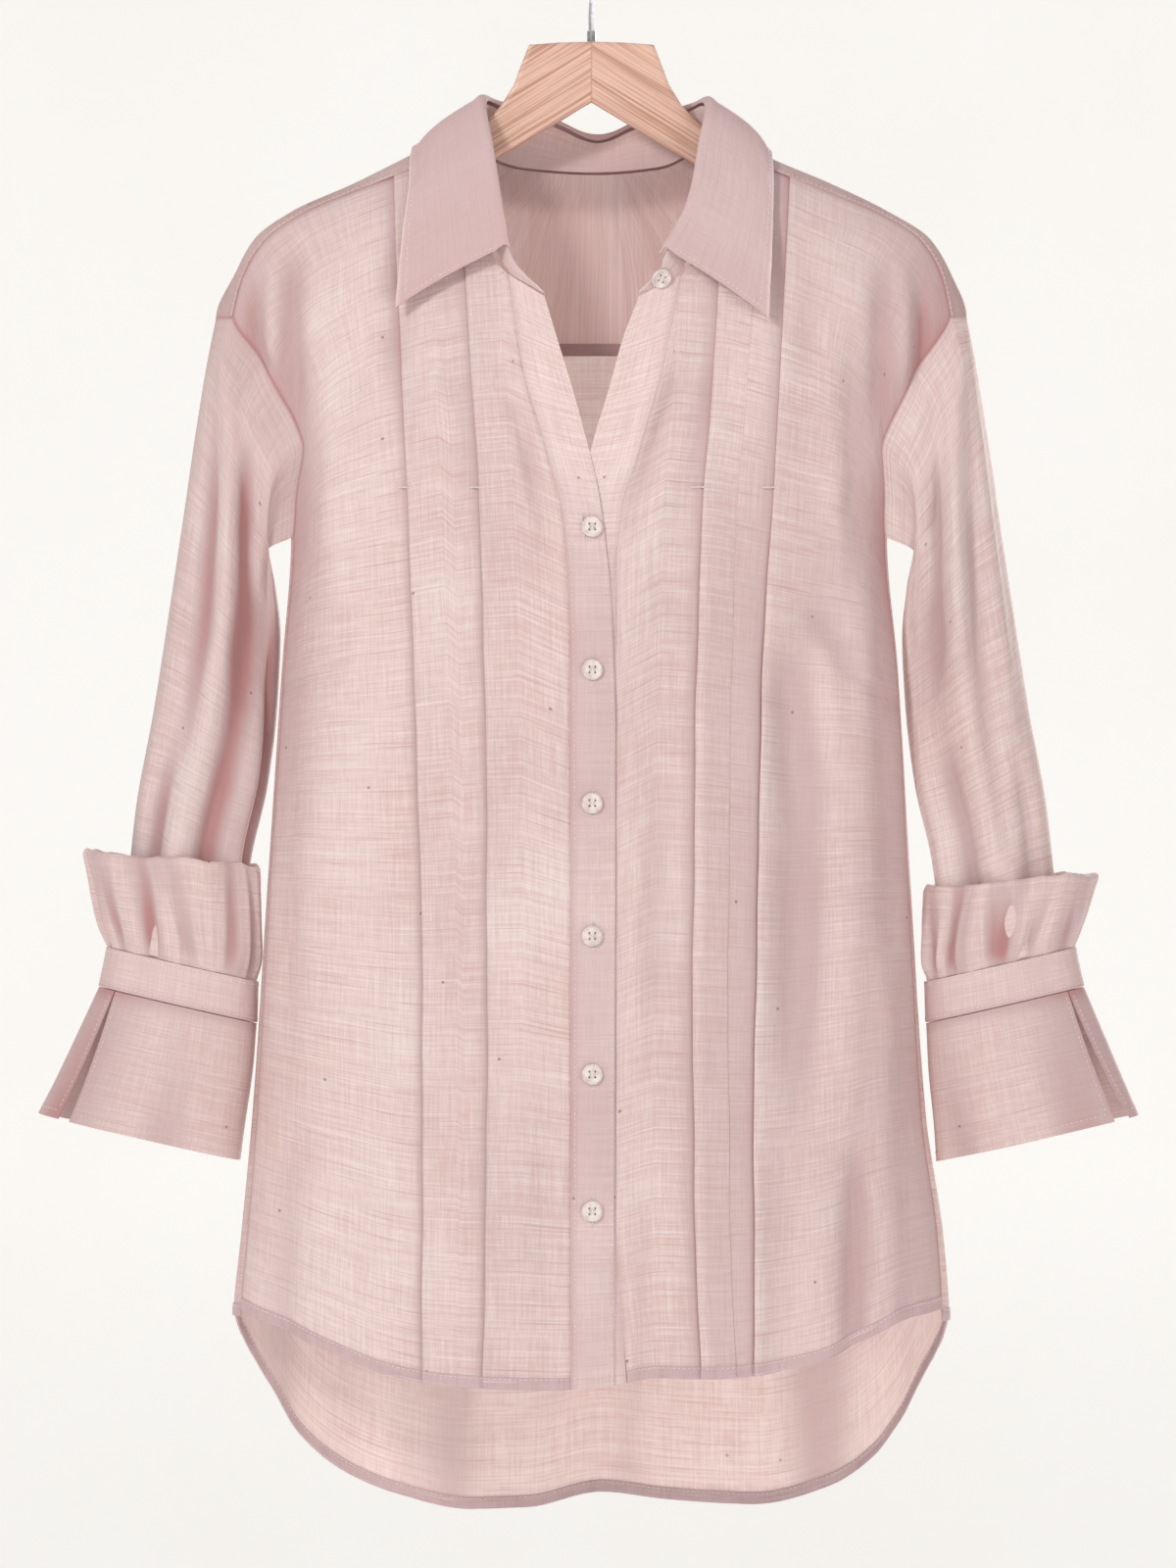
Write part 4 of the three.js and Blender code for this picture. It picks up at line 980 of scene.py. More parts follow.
# Patterns of the weave: repeats in a metre across and down, and a place in the noise of their own
WEFT = (18, 620, 1)
FINE_WEFT = (90, 1500, 1)
WARP = (900, 26, 1)
FINE_WARP = (1800, 140, 1)
SLUB = (10, 480, 7)
DARK_SLUB = (16, 640, 3)
PALE_WARP = (560, 12, 5)
PATCH = (9, 6, 1)
TINT = (7, 5, 9)
CRUMPLE = (45, 75, 3)
FLECK = (9, 9, 1)
FLECK_EDGE = (0.006, 0.011)
SLUB_COLOUR = (0.93, 0.86, 0.84)
PALE_WARP_COLOUR = (0.92, 0.85, 0.83)
SHEEN_TINT = (1.0, 0.9, 0.88)


@dataclass(frozen=True)
class ClothFinish(Finish):
    """A light slubby weave, with its colours, sheen and how much light comes through."""

    base: Colour = (0.80, 0.63, 0.61)
    light: Colour = (0.92, 0.84, 0.82)
    deep: Colour = (0.63, 0.37, 0.37)
    # rose is the colour of the deepest painted shade; mauve is a random tint and also the first step of
    # painted shade.
    shade_rose: Colour = (0.50, 0.22, 0.22)
    mauve: Colour = (0.60, 0.44, 0.445)
    speck: Colour = (0.16, 0.07, 0.07)
    mauve_share: float = 0.35
    light_share: float = 0.38
    through: float = 0.16
    glow: Colour = (0.98, 0.72, 0.66)
    glow_share: float = 0.35
    bump: float = 0.5
    coarse: float = 1.0

    def shader(self, n: Nodes) -> Socket:
        """Return the cloth's shader."""
        threads = n.add("UVMap", uv_map="threads").outputs["UV"]
        painted_shade_and_tint = n.add("Attribute", attribute_type="GEOMETRY", attribute_name="painted_shade_and_tint").outputs["Fac"]
        lines = n.plus(n.times(n.noise(threads, WEFT, 3), 0.55), n.times(n.noise(threads, FINE_WEFT), 0.25))
        cross = n.plus(n.times(n.noise(threads, WARP, 3), 0.5), n.times(n.noise(threads, FINE_WARP), 0.3))
        weave = n.plus(lines, cross)
        slub = n.ramp(n.noise(threads, SLUB, 1), 0.62, 0.72)
        fleck = n.add("TexVoronoi", voronoi_dimensions="2D")
        n.feed(fleck.inputs["Vector"], n.stretched(threads, FLECK))
        fleck.inputs["Scale"].default_value = 1.0
        colour = n.layers(self.base, (
            (n.ramp(n.noise(threads, PATCH), 0.4, 0.66), self.light_share, self.light),
            (n.ramp(n.noise(threads, TINT), 0.42, 0.68), self.mauve_share, self.mauve),
            (n.ramp(weave, 0.86, 0.66), 0.36 * self.coarse, self.deep),
            (n.ramp(weave, 0.80, 1.0), 0.5 * self.coarse, self.light),
            (slub, 0.38 * self.coarse, SLUB_COLOUR),
            (n.ramp(n.noise(threads, PALE_WARP, 1), 0.66, 0.76), 0.2 * self.coarse, PALE_WARP_COLOUR),
            (n.ramp(n.noise(threads, DARK_SLUB, 1), 0.62, 0.72), 0.5 * self.coarse, self.deep),
            # Painted shade: the tone attribute deepens the colour toward mauve, then toward deep rose.
            (n.ramp(painted_shade_and_tint, 0.0, 0.45), 0.75, self.mauve),
            (n.ramp(painted_shade_and_tint, 0.3, 0.95), 0.85, self.shade_rose),
            (n.less(1.0, n.ramp(fleck.outputs["Distance"], *FLECK_EDGE)), 0.6, self.speck),
        ))
        soft = n.bump(n.noise(threads, CRUMPLE, 3), 0.35, 0.004)
        normal = n.bump(n.plus(weave, n.times(slub, 0.4)), self.bump, 0.0004, soft)
        face = n.face(
            Base_Color=colour, Normal=normal, Roughness=0.62, Specular_IOR_Level=0.32,
            Sheen_Weight=0.22, Sheen_Roughness=0.45, Sheen_Tint=SHEEN_TINT,
        )
        glow = n.add("BsdfTranslucent")
        n.feed(glow.inputs["Color"], n.blend(self.glow_share, colour, self.glow))
        n.feed(glow.inputs["Normal"], normal)
        mixed = n.add("MixShader")
        for k, source in enumerate((self.through, face, glow.outputs[0])):
            n.feed(mixed.inputs[k], source)
        return mixed.outputs[0]


@dataclass(frozen=True)
class ThreadFinish(Finish):
    """Sewing thread with a slight lustre."""

    name: str = "sewing_thread"
    colour: Colour = (0.93, 0.84, 0.82)
    shade: Colour = (0.74, 0.60, 0.60)
    twist: float = 2600.0

    def shader(self, n: Nodes) -> Socket:
        """Return the thread's shader."""
        twist = n.noise(n.place(), self.twist)
        return n.face(
            Base_Color=n.blend(n.ramp(twist, 0.4, 0.62), self.shade, self.colour),
            Normal=n.bump(twist, 0.5, 0.0001), Roughness=0.5, Sheen_Weight=0.3,
        )


@dataclass(frozen=True)
class ButtonFinish(Finish):
    """Off-white polished button stuff, a little cloudy."""

    name: str = "button_pearl"
    colour: Colour = (0.80, 0.73, 0.69)
    cloud: Colour = (0.67, 0.58, 0.55)
    cloud_size: float = 240.0
    grain_size: float = 1500.0

    def shader(self, n: Nodes) -> Socket:
        """Return the button's shader."""
        cloud = n.noise(n.place(), self.cloud_size, 3)
        grain = n.noise(n.place(), self.grain_size)
        return n.face(
            Base_Color=n.blend(n.ramp(cloud, 0.42, 0.64), self.colour, self.cloud),
            Normal=n.bump(grain, 0.25, 0.0001), Roughness=n.plus(0.22, n.times(grain, 0.2)), Coat_Weight=0.3,
        )


@dataclass(frozen=True)
class WoodFinish(Finish):
    """Pale varnished wood whose grain meets in a chevron at the hanger's middle."""

    name: str = "hanger_wood_grain"
    light: Colour = (0.76, 0.50, 0.40)
    dark: Colour = (0.47, 0.245, 0.17)
    slope: float = 0.62
    line_size: Colour = (9, 520, 40)
    ring_size: Colour = (5, 130, 14)
    pore_size: Colour = (60, 2200, 500)
    half_shift: float = 3.0

    def shader(self, n: Nodes) -> Socket:
        """Return the wood's shader."""
        split = n.add("SeparateXYZ")
        n.feed(split.inputs[0], n.place())
        x, y, z = split.outputs
        away = n.sums("ABSOLUTE", x)
        grain = n.add("CombineXYZ")
        n.feed(grain.inputs[0], n.less(away, n.times(z, self.slope)))
        n.feed(grain.inputs[1], n.plus(z, n.times(away, self.slope)))
        n.feed(grain.inputs[2], n.plus(y, n.times(n.sums("SIGN", x), self.half_shift)))
        lines = n.noise(grain.outputs[0], self.line_size, 4)
        rings = n.noise(grain.outputs[0], self.ring_size)
        pores = n.ramp(n.noise(grain.outputs[0], self.pore_size, 1), 0.62, 0.74)
        joint = n.less(1.0, n.ramp(away, 0.0002, 0.0009))
        colour = n.layers(self.light, (
            (n.ramp(lines, 0.38, 0.66), 1.0, self.dark),
            (n.ramp(rings, 0.35, 0.7), 0.55, self.light),
            (pores, 0.35, self.dark),
            (joint, 0.5, self.dark),
        ))
        return n.face(
            Base_Color=colour, Normal=n.bump(n.less(lines, joint), 0.3, 0.0002),
            Roughness=n.plus(0.4, n.times(pores, 0.3)), Coat_Weight=0.12,
        )


@dataclass(frozen=True)
class SteelFinish(Finish):
    """Bright plated wire, drawn along its length."""

    name: str = "hanger_steel"
    colour: Colour = (0.42, 0.42, 0.44)
    worn: Colour = (0.28, 0.27, 0.28)
    drawn: Colour = (2400, 2400, 60)
    wear_size: float = 180.0

    def shader(self, n: Nodes) -> Socket:
        """Return the steel's shader."""
        drawn = n.noise(n.place(), self.drawn)
        wear = n.noise(n.place(), self.wear_size, 3)
        return n.face(
            Base_Color=n.blend(n.ramp(wear, 0.45, 0.7), self.colour, self.worn), Metallic=1.0,
            Roughness=n.plus(0.18, n.times(drawn, 0.2)), Normal=n.bump(drawn, 0.15, 0.0001),
        )


@dataclass(frozen=True)
class WallFinish(Finish):
    """A matt pale wall and floor."""

    name: str = "studio_wall"
    colour: Colour = (0.87, 0.865, 0.85)
    mottle: Colour = (0.85, 0.84, 0.815)
    mottle_size: float = 2.2
    glow: float = 0.36

    def shader(self, n: Nodes) -> Socket:
        """Return the wall's shader."""
        mottle = n.ramp(n.noise(n.place(), self.mottle_size, 4), 0.35, 0.75)
        return n.face(
            Base_Color=n.blend(mottle, self.colour, self.mottle), Roughness=0.9,
            Emission_Color=self.colour, Emission_Strength=self.glow,
        )


SHELL_CLOTH = ClothFinish("cloth_pink")
BAND_CLOTH = ClothFinish("cloth_pink_band", mauve_share=0.5, light_share=0.45, through=0.06)
LEAF_CLOTH = ClothFinish("cloth_pink_leaf", mauve_share=0.5, light_share=0.5, through=0.05)
YOKE_CLOTH = ClothFinish(
    "cloth_pink_yoke", mauve_share=0.45, light_share=0.5, through=0.42, glow=(1.0, 0.90, 0.88), glow_share=0.6
)
# The back's paler base and light stand in for light coming through the sheer cloth: painted light, beside its
# real translucency.
SHEER_CLOTH = ClothFinish(
    "cloth_pink_back", base=(0.85, 0.71, 0.69), light=(0.93, 0.86, 0.84), through=0.52, light_share=0.3,
    mauve_share=0.2, coarse=1.35, glow=(1.0, 0.95, 0.93), glow_share=0.7,
)
# Darker colours for the hems and the seam edge inside the neck: painted shade.
HEM_CLOTH = ClothFinish(
    "cloth_hem", base=(0.56, 0.41, 0.43), light=(0.68, 0.53, 0.55), deep=(0.40, 0.25, 0.27), through=0.04
)
THREAD = ThreadFinish()
# A dark line of thread in each buttonhole's slit: painted shadow in the cut.
SLIT_SHADOW = ThreadFinish("buttonhole_slit_shadow", colour=(0.52, 0.36, 0.38), shade=(0.38, 0.24, 0.26))


def paint(thing: bpy.types.Object, finish: Finish) -> None:
    """Give an object one finish alone.

    Args:
        thing: the object.
        finish: its finish.
    """
    thing.data.materials.clear()
    thing.data.materials.append(finish.material())


def settle(
    thing: bpy.types.Object, finish: Finish, nodes: Sequence[str] = ()
) -> bpy.types.Object:
    """Give a piece its finish and its body, in place of some plain solids.

    Args:
        thing: the piece.
        finish: the finish that holds its material.
        nodes: the solids that it stands for.

    Returns:
        The same piece.
    """
    paint(thing, finish)
    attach(thing, BODY_NAME)
    if nodes:
        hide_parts(*nodes)
    return thing


def declare(
    thing: bpy.types.Object,
    grid: Grid,
    closed: bool = False,
    with_pieces: Sequence[bpy.types.Object] = (),
) -> None:
    """Say what flat cut a piece of cloth was, from its own threads.

    Args:
        thing: the piece.
        grid: the middle of its cloth, in millimetres.
        closed: whether its last column meets its first.
        with_pieces: separate pieces on it; not used.
    """
    if closed:
        grid = np.concatenate([grid, grid[:, :1]], axis=1)
    width = float(np.linalg.norm(np.diff(grid, axis=1), axis=-1).sum(axis=1).max()) * MM
    length = float(np.linalg.norm(np.diff(grid, axis=0), axis=-1).sum(axis=0).max()) * MM
    one = np.cross(grid[1:, 1:] - grid[:-1, :-1], grid[1:, :-1] - grid[:-1, 1:])
    area = float(np.linalg.norm(one, axis=-1).sum()) / 2 * MM * MM
    area = min(max(area, LEAST_CUT * width * length), width * length)
    LOG.info("%s: cut %.3f by %.3f m, %.4f square metres", thing.name, width, length, area)


def sew(
    name: str,
    grid: Grid,
    thickness: float,
    finish: Finish,
    painted_shade_and_tint: Grid,
    closed: bool = False,
    weave: Weave | None = None,
) -> bpy.types.Object:
    """Make a piece of cloth in place of the plain solid of its name.

    Args:
        name: the solid's name.
        grid: the middle of its cloth, in millimetres.
        thickness: the cloth's thickness, in millimetres.
        finish: its finish.
        painted_shade_and_tint: the painted shade at each point, with a little random tint in places.
        closed: whether its last column meets its first.
        weave: how the threads lie.

    Returns:
        The piece.
    """
    thing = shell(f"cloth_{name}", grid, thickness, closed, weave, painted_shade_and_tint)
    settle(thing, finish, [name])
    declare(thing, grid, closed)
    return thing


def read_path(marks: np.ndarray, at: np.ndarray, rows: np.ndarray) -> np.ndarray:
    """Return points or directions read off a path.

    Args:
        marks: where to read.
        at: where the path's rows are.
        rows: the rows, each of x, y and z.

    Returns:
        One row for each mark.
    """
    return np.stack([np.interp(marks, at, rows[:, axis]) for axis in range(3)], axis=1)


class Stitches:
    """Runs of sewing thread, gathered into one piece."""

    end_size = 0.45
    sag = 0.7
    bar_rise = 0.15

    def __init__(self, name: str, stitch: float = 2.6, gap: float = 0.7, thick: float = 0.6) -> None:
        """Start an empty run.

        Args:
            name: the piece's name.
            stitch: the length of one stitch.
            gap: the space between two.
            thick: the thread's thickness.
        """
        self.name = name
        self.stitch = stitch
        self.gap = gap
        self.thick = thick
        self.points: list[np.ndarray] = []
        self.faces: list[tuple[int, ...]] = []

    def run(self, path: np.ndarray, outward: np.ndarray) -> None:
        """Sew along a path.

        Args:
            path: points on the cloth's face, in millimetres.
            outward: the way out of the cloth at each point.
        """
        far = np.concatenate([[0], np.cumsum(np.linalg.norm(np.diff(path, axis=0), axis=1))])
        pitch = self.stitch + self.gap
        for k in range(int(far[-1] / pitch)):
            start = k * pitch + self.gap / 2
            marks = np.array([start, start + self.stitch / 2, start + self.stitch])
            places = read_path(marks, far, path)
            out = unit(read_path(marks, far, outward))
            aside = unit(np.cross(unit(places[2] - places[0]), out[1]))
            self._stitch(places, out, aside)

    def bar(self, path: np.ndarray, outward: np.ndarray, width: float, pitch: float = 0.5) -> None:
        """Sew close stitches across a path.

        Args:
            path: points on the cloth's face, in millimetres.
            outward: the way out of the cloth at each point.
            width: how wide the bar is.
            pitch: the space from one stitch to the next.
        """
        far = np.concatenate([[0], np.cumsum(np.linalg.norm(np.diff(path, axis=0), axis=1))])
        marks = np.arange(0, far[-1] + pitch / 2, pitch)
        ahead = unit(path[-1] - path[0])
        for place, way in zip(read_path(marks, far, path), unit(read_path(marks, far, outward))):
            aside = unit(np.cross(ahead, way)) * width / 2
            row = np.array([place - aside, place + way * self.bar_rise, place + aside])
            self._stitch(row, np.array([way] * 3), ahead)

    def _stitch(self, places: np.ndarray, out: np.ndarray, aside: np.ndarray) -> None:
        """Add one stitch: a thin spindle that dips into the cloth at both ends."""
        half = self.thick / 2
        base = len(self.points)
        sink = (-half, half * self.sag, -half)
        size = (self.end_size, 1.0, self.end_size)
        for place, way, low, scale in zip(places, out, sink, size):
            middle = place + way * low
            for a, b in ((1, 0), (0, 1), (-1, 0), (0, -1)):
                self.points.append((middle + aside * a * half * scale + way * b * half * scale) * MM)
        for ring in (0, 4):
            for k in range(4):
                near, far = base + ring + k, base + ring + (k + 1) % 4
                self.faces.append((near, far, far + 4, near + 4))
        self.faces.append((base + 3, base + 2, base + 1, base))
        self.faces.append((base + 8, base + 9, base + 10, base + 11))

    def make(self, finish: Finish = THREAD) -> bpy.types.Object:
        """Return the sewn piece.

        Args:
            finish: the thread.

        Returns:
            The piece.
        """
        mesh = bpy.data.meshes.new(self.name)
        mesh.from_pydata([tuple(p) for p in self.points], [], self.faces)
        mesh.update()
        mesh.shade_smooth()
        return settle(linked(self.name, mesh), finish)


ARMHOLE_PART = 6.0
NECK_PART = 3.0
PANEL_PART = 17.0
HEM_WIDTH = 8.0
HEM_TUCK = HEM_WIDTH - 3
HEM_BEND = 40
HEM_ROWS = 5
HEM_THICKNESS = 1.5
TOP_BAND_LIFT = 1.6
CLOTH = 1.2
MIDDLE = CLOTH / 2
PLEAT_TACK = -367.0
PLEAT_MARGIN = 12.0


@dataclass(frozen=True)
class Pleat:
    """A knife pleat: where its fold edge runs, and how wide the cloth sunk beside it is."""

    side: Side
    share: float
    sunk: float
    line: tuple[Pair, ...]
    seed: float


RIGHT_OUTER = Pleat(
    Side.RIGHT, 0.55, 6, ((-167, -126), (-296, -121), (-367, -117), (-619, -108), (-930, -106)), 0.4
)
RIGHT_INNER = Pleat(
    Side.RIGHT, 0.70, 6, ((-167, -84), (-296, -76), (-367, -71.5), (-619, -65), (-930, -68)), 1.9
)
LEFT_INNER = Pleat(
    Side.LEFT, 0.70, 9, ((-167, 86), (-319, 77), (-374, 72), (-517, 67), (-806, 66), (-930, 70)), 3.1
)
LEFT_OUTER = Pleat(
    Side.LEFT, 0.55, 9, ((-167, 128), (-319, 120), (-373, 117), (-517, 109), (-806, 105), (-930, 104.5)), 4.6
)

# A pleat from left to right: the shift from its fold edge, its lift, and how much painted shadow lies on it
PLEAT_SECTION = (
    (-2.4, -0.2, 0.0), (-1.0, -0.8, 0.3), (0.25, -1.0, 1.0), (0.9, -0.9, 1.0), (1.15, -0.45, 1.0),
    (0.95, 0.05, 1.0), (0.5, 0.3, 0.9), (0.1, 0.5, 0.5), (-0.06, 1.1, 0.0), (0.02, 1.8, 0.0),
    (0.25, 2.15, 0.0), (0.7, 2.0, 0.0), (1.4, 1.2, 0.0), (2.2, 0.5, 0.0), (3.0, 0.0, 0.0),
)
PLEAT_WIDTH = 7.0
PLEAT_SUNK = 6.0
HALVINGS = 30


def side_turn(degrees: Grid | float, side: Side) -> Grid:
    """Return the turn of a line at the body's side, from degrees ahead of the widest point."""
    angle = np.radians(degrees)
    return math.pi - angle if side is Side.RIGHT else angle


class Seams:
    """The seam lines that neighbouring pieces share."""

    def __init__(self, body: BodyForm) -> None:
        """Prepare the lines.

        Args:
            body: the form that they lie on.
        """
        self.body = body
        self.front_hem = Curve([(float(body.turn_at(x, z)), z) for x, z in HEM_FRONT])
        self.back_hem = Curve([(float(body.turn_at(x, z, False)), z) for x, z in HEM_BACK])

    def side(self, side: Side, armhole: tuple[Pair, ...], rows: np.ndarray) -> Places:
        """Return places down the armhole and the side seam.

        Args:
            side: which side of the body.
            armhole: the table of its front or its back.
            rows: how far down, where 6 is the underarm and 17 is the hem.

        Returns:
            One place for each row.
        """
        down = lerp(armhole[0][0], UNDERARM, rows / ARMHOLE_PART)
        below = lerp(UNDERARM, SIDE_HEM, (rows - ARMHOLE_PART) / (PANEL_PART - ARMHOLE_PART))
        z = np.where(rows < ARMHOLE_PART, down, below)
        degrees = np.where(rows < ARMHOLE_PART, Curve(armhole)(z), Curve(SIDE_SEAM)(z))
        turn = side_turn(degrees, side)
        if armhole is ARMHOLE_BACK and side is Side.LEFT:
            turn = turn + TURN
        return Places.of(turn, z)

    def yoke_turn(self, side: Side, z: Grid) -> Grid:
        """Return the turn of the front yoke seam at a height."""
        return self.body.turn_at(side.sign * Curve(YOKE_SEAM[side])(z), z)

    def band(self, side: Side, rows: np.ndarray) -> Places:
        """Return places down the neck seam and then the band's seam.

        Args:
            side: which front.
            rows: how far down, where 3 is the band's top and 17 is the hem.

        Returns:
            One place for each row.
        """
        neck, seam = Curve(NECK_FRONT[side]), Curve(BAND_SEAM[side])
        bottom = float(self.front_hem(self.body.turn_at(seam(HEM_MEET), HEM_MEET)))
        high = lerp(YOKE_FRONT_TOP, BAND_TOP, rows / NECK_PART)
        low = lerp(BAND_TOP, bottom, (rows - NECK_PART) / (PANEL_PART - NECK_PART))
        z = np.where(rows < NECK_PART, high, low)
        x = np.where(rows < NECK_PART, neck(z), seam(z))
        return Places.of(self.body.turn_at(x, z), z)

    def pleat(self, pleat: Pleat, shift: float, lift: float, parts: np.ndarray) -> Places:
        """Return one line of a pleat from the yoke seam to the hem.

        Args:
            pleat: which pleat.
            shift: how far beside its fold edge.
            lift: how far it stands off the body.
            parts: the part of the way down.

        Returns:
            One place for each part.
        """
        drawn, neck = Curve(pleat.line), Curve(NECK_FRONT[pleat.side])
        right = pleat.side is Side.RIGHT
        margin = PLEAT_MARGIN - 0.45 * shift if right else PLEAT_MARGIN + 0.3 * shift

        def line_x(z: Grid | float) -> Grid:
            """Return the X of the line's own fold edge."""
            if right:
                return np.minimum(drawn(z), neck(z) - margin - shift)
            return np.maximum(drawn(z), neck(z) + margin - shift)

        half = Curve(YOKE_SEAM[pleat.side])
        high, low = float(YOKE_FRONT_TOP), float(YOKE_FRONT_END)
        for _ in range(HALVINGS):
            z = (high + low) / 2
            if half(z) > pleat.side.sign * (line_x(z) + shift):
                low = z
            else:
                high = z
        top = (high + low) / 2
        bottom = float(self.front_hem(self.body.turn_at(line_x(HEM_MEET) + shift, HEM_MEET)))
        z = lerp(top, bottom, parts)
        below = smooth(-z, -PLEAT_TACK + 4, -PLEAT_TACK + 90)
        open_part = 0.55 + 0.45 * below
        wander = 1.1 * below * sway(z / 62, pleat.seed)
        return Places.of(self.body.turn_at(line_x(z) + shift + wander, z), z, lift * open_part)


def loft(lines: Sequence[Places], counts: Sequence[int]) -> Places:
    """Join neighbouring lines into one grid of places.

    Args:
        lines: the lines, from left to right.
        counts: how many columns lie between each two.

    Returns:
        The grid.
    """
    turns, heights, lifts = [lines[0].turn], [lines[0].z], [lines[0].lift]
    for near, far, count in zip(lines, lines[1:], counts):
        for k in range(1, count + 1):
            between = near.mixed(far, k / count)
            turns.append(between.turn)
            heights.append(between.z)
            lifts.append(between.lift)
    return Places(np.stack(turns, 1), np.stack(heights, 1), np.stack(lifts, 1))


@dataclass
class FrontPanel:
    """One front, from the armhole and side seam to its band, with two knife pleats."""

    side: Side
    seams: Seams
    rows: int = 236
    side_columns: int = 28
    between_columns: int = 8
    band_columns: int = 10
    thickness: float = 0.7
    # Painted shade: on the pleats' underlay, between the left pleats, in fold troughs, toward the body's side
    # (more on the left front, as the light falls), along the side and yoke seams, and below the yoke.
    side_shade: float = 0.24
    pleat_shade: float = 0.6
    strip_shade: float = 0.24
    trough_shade: float = 0.34
    seam_shade: Pair = (0.5, 0.45)
    seam_reach: float = 1.6
    side_reach: float = 55.0
    top_shade: float = 0.16
    top_reach: float = 60.0
    grid: Grid = field(init=False)
    places: Places = field(init=False)

    def _pleat_lines(self, pleat: Pleat, side_parts: np.ndarray, band_parts: np.ndarray) -> list[Places]:
        """Return the lines across one pleat, from left to right."""
        parts = lerp(side_parts, band_parts, pleat.share)
        width = PLEAT_WIDTH * pleat.sunk / PLEAT_SUNK
        return [
            self.seams.pleat(pleat, shift * (width if shift < 0 else PLEAT_WIDTH), lift, parts)
            for shift, lift, _ in PLEAT_SECTION
        ]

    def build(self) -> bpy.types.Object:
        """Make the panel and return it."""
        rows = np.linspace(0, PANEL_PART, self.rows)
        side = self.seams.side(self.side, ARMHOLE_FRONT, rows)
        band = self.seams.band(self.side, rows)
        side_parts = (side.z[0] - side.z) / (side.z[0] - side.z[-1])
        band_parts = (band.z[0] - band.z) / (band.z[0] - band.z[-1])
        right = self.side is Side.RIGHT
        first, second = (RIGHT_OUTER, RIGHT_INNER) if right else (LEFT_INNER, LEFT_OUTER)
        one = self._pleat_lines(first, side_parts, band_parts)
        two = self._pleat_lines(second, side_parts, band_parts)
        lines = [side if right else band, *one, *two, band if right else side]
        inside = [2] * (len(PLEAT_SECTION) - 1)
        ends = [self.side_columns, self.band_columns] if right else [self.band_columns, self.side_columns]
        counts = [ends[0], *inside, self.between_columns, *inside, ends[1]]
        places = loft(lines, counts)
        # Painted shadow on each pleat's sunk underlay strip, carried across the columns.
        pleat_shadow = np.array([row[2] for row in PLEAT_SECTION])
        marks = [0.0, *pleat_shadow, *pleat_shadow, 0.0]
        dark = [marks[0]]
        for near, far, count in zip(marks, marks[1:], counts):
            dark.extend(lerp(near, far, k / count) for k in range(1, count + 1))
        part = (rows / PANEL_PART)[:, None]
        shift = self.seams.yoke_turn(self.side, places.z[0]) - places.turn[0]
        shift[0] = shift[-1] = 0
        places.turn += shift * (1 - part) ** 3
        hem = self.seams.front_hem(places.turn)
        places.z += (hem - places.z[-1]) * part**4 + HEM_TUCK * part**HEM_BEND
        self.places = places
        body = self.seams.body
        self.grid = body.point(places, -MIDDLE)
        x = self.grid[..., 0]
        # Painted shadow on the pleats' sunk underlay strips.
        painted_shade_and_tint = self.pleat_shade * np.array(dark)[None, :] ** 1.6 + 0 * x
        # Painted shade on the left front's strip between its two pleats.
        if not right:
            inner, outer = Curve(LEFT_INNER.line)(places.z), Curve(LEFT_OUTER.line)(places.z)
            strip = smooth(x, inner, inner + 8) * (1 - smooth(x, outer - 14, outer - 4))
            painted_shade_and_tint += self.strip_shade * strip * smooth(-places.z, 300, 460)
        # Painted shade in the folds' troughs.
        depth = body.rise(x, places.z, np.full(x.shape, True))
        painted_shade_and_tint += self.trough_shade * np.clip(-depth / TROUGH, 0, 1)
        # Painted shade toward the body's side, deeper on the left front as the light falls, and a thin
        # painted shade line along the side seam.
        outer_edge = 0 if right else -1
        from_side = arc_lengths(self.grid, 1)[None, :] / MM
        from_side = np.abs(from_side - from_side[:, outer_edge])
        shade = self.side_shade * (0.6 if right else 1.4)
        painted_shade_and_tint += shade * bell(from_side, self.side_reach)
        painted_shade_and_tint += self.seam_shade[0] * bell(from_side, self.seam_reach)
        # A thin painted shade line along the yoke seam, and broad painted shade below it.
        from_top = (places.z[0] - places.z) + 0 * x
        painted_shade_and_tint += self.seam_shade[1] * bell(from_top, self.seam_reach)
        painted_shade_and_tint += self.top_shade * bell(from_top, self.top_reach)
        name = f"front_{self.side.value}"
        weave = Weave.along(self.grid, shift=(0.3 * right, 0))
        thing = shell(f"cloth_{name}", self.grid, self.thickness, weave=weave, painted_shade_and_tint=painted_shade_and_tint)
        settle(thing, SHELL_CLOTH, [name])
        declare(thing, self.grid, with_pieces=[self._hem()])
        return thing

    def _hem(self) -> bpy.types.Object:
        """Make the narrow hem under the panel and return it."""
        last = self.places.part(slice(-1, None))
        return make_hem(f"front_{self.side.value}", last, self.seams, self.seams.front_hem, -1)


def make_hem(name: str, last: Places, seams: Seams, edge: Curve, seed: float) -> bpy.types.Object:
    """Make a turned hem along the bottom of a panel.

    Args:
        name: the panel's name.
        last: the places of its bottom row.
        seams: the seam lines.
        edge: the hem's height at each turn.
        seed: shifts its puckers.

    Returns:
        The hem.
    """
    rises = np.linspace(HEM_WIDTH, 0, HEM_ROWS)[:, None]
    bottom = edge(last.turn[0])[None, :]
    pucker = 0.22 * np.sin(last.turn * 420 + seed) + 0.18 * sway(last.turn * 120, 2.0)
    lift = last.lift + FACE_GAP + pucker * np.sin(math.pi * np.linspace(0.1, 0.9, HEM_ROWS))[:, None]
    places = Places.of(last.turn + 0 * rises, bottom + rises, lift)
    grid = seams.body.point(places, -MIDDLE)
    # Painted shade along the hem, with a slow random sway.
    painted_shade_and_tint = 0.2 + 0.25 * sway(places.turn * 90, 1.0) + 0 * grid[..., 0]
    thing = shell(f"cloth_hem_{name}", grid, HEM_THICKNESS, painted_shade_and_tint=painted_shade_and_tint)
    return settle(thing, HEM_CLOTH, [f"hem_{name}"])


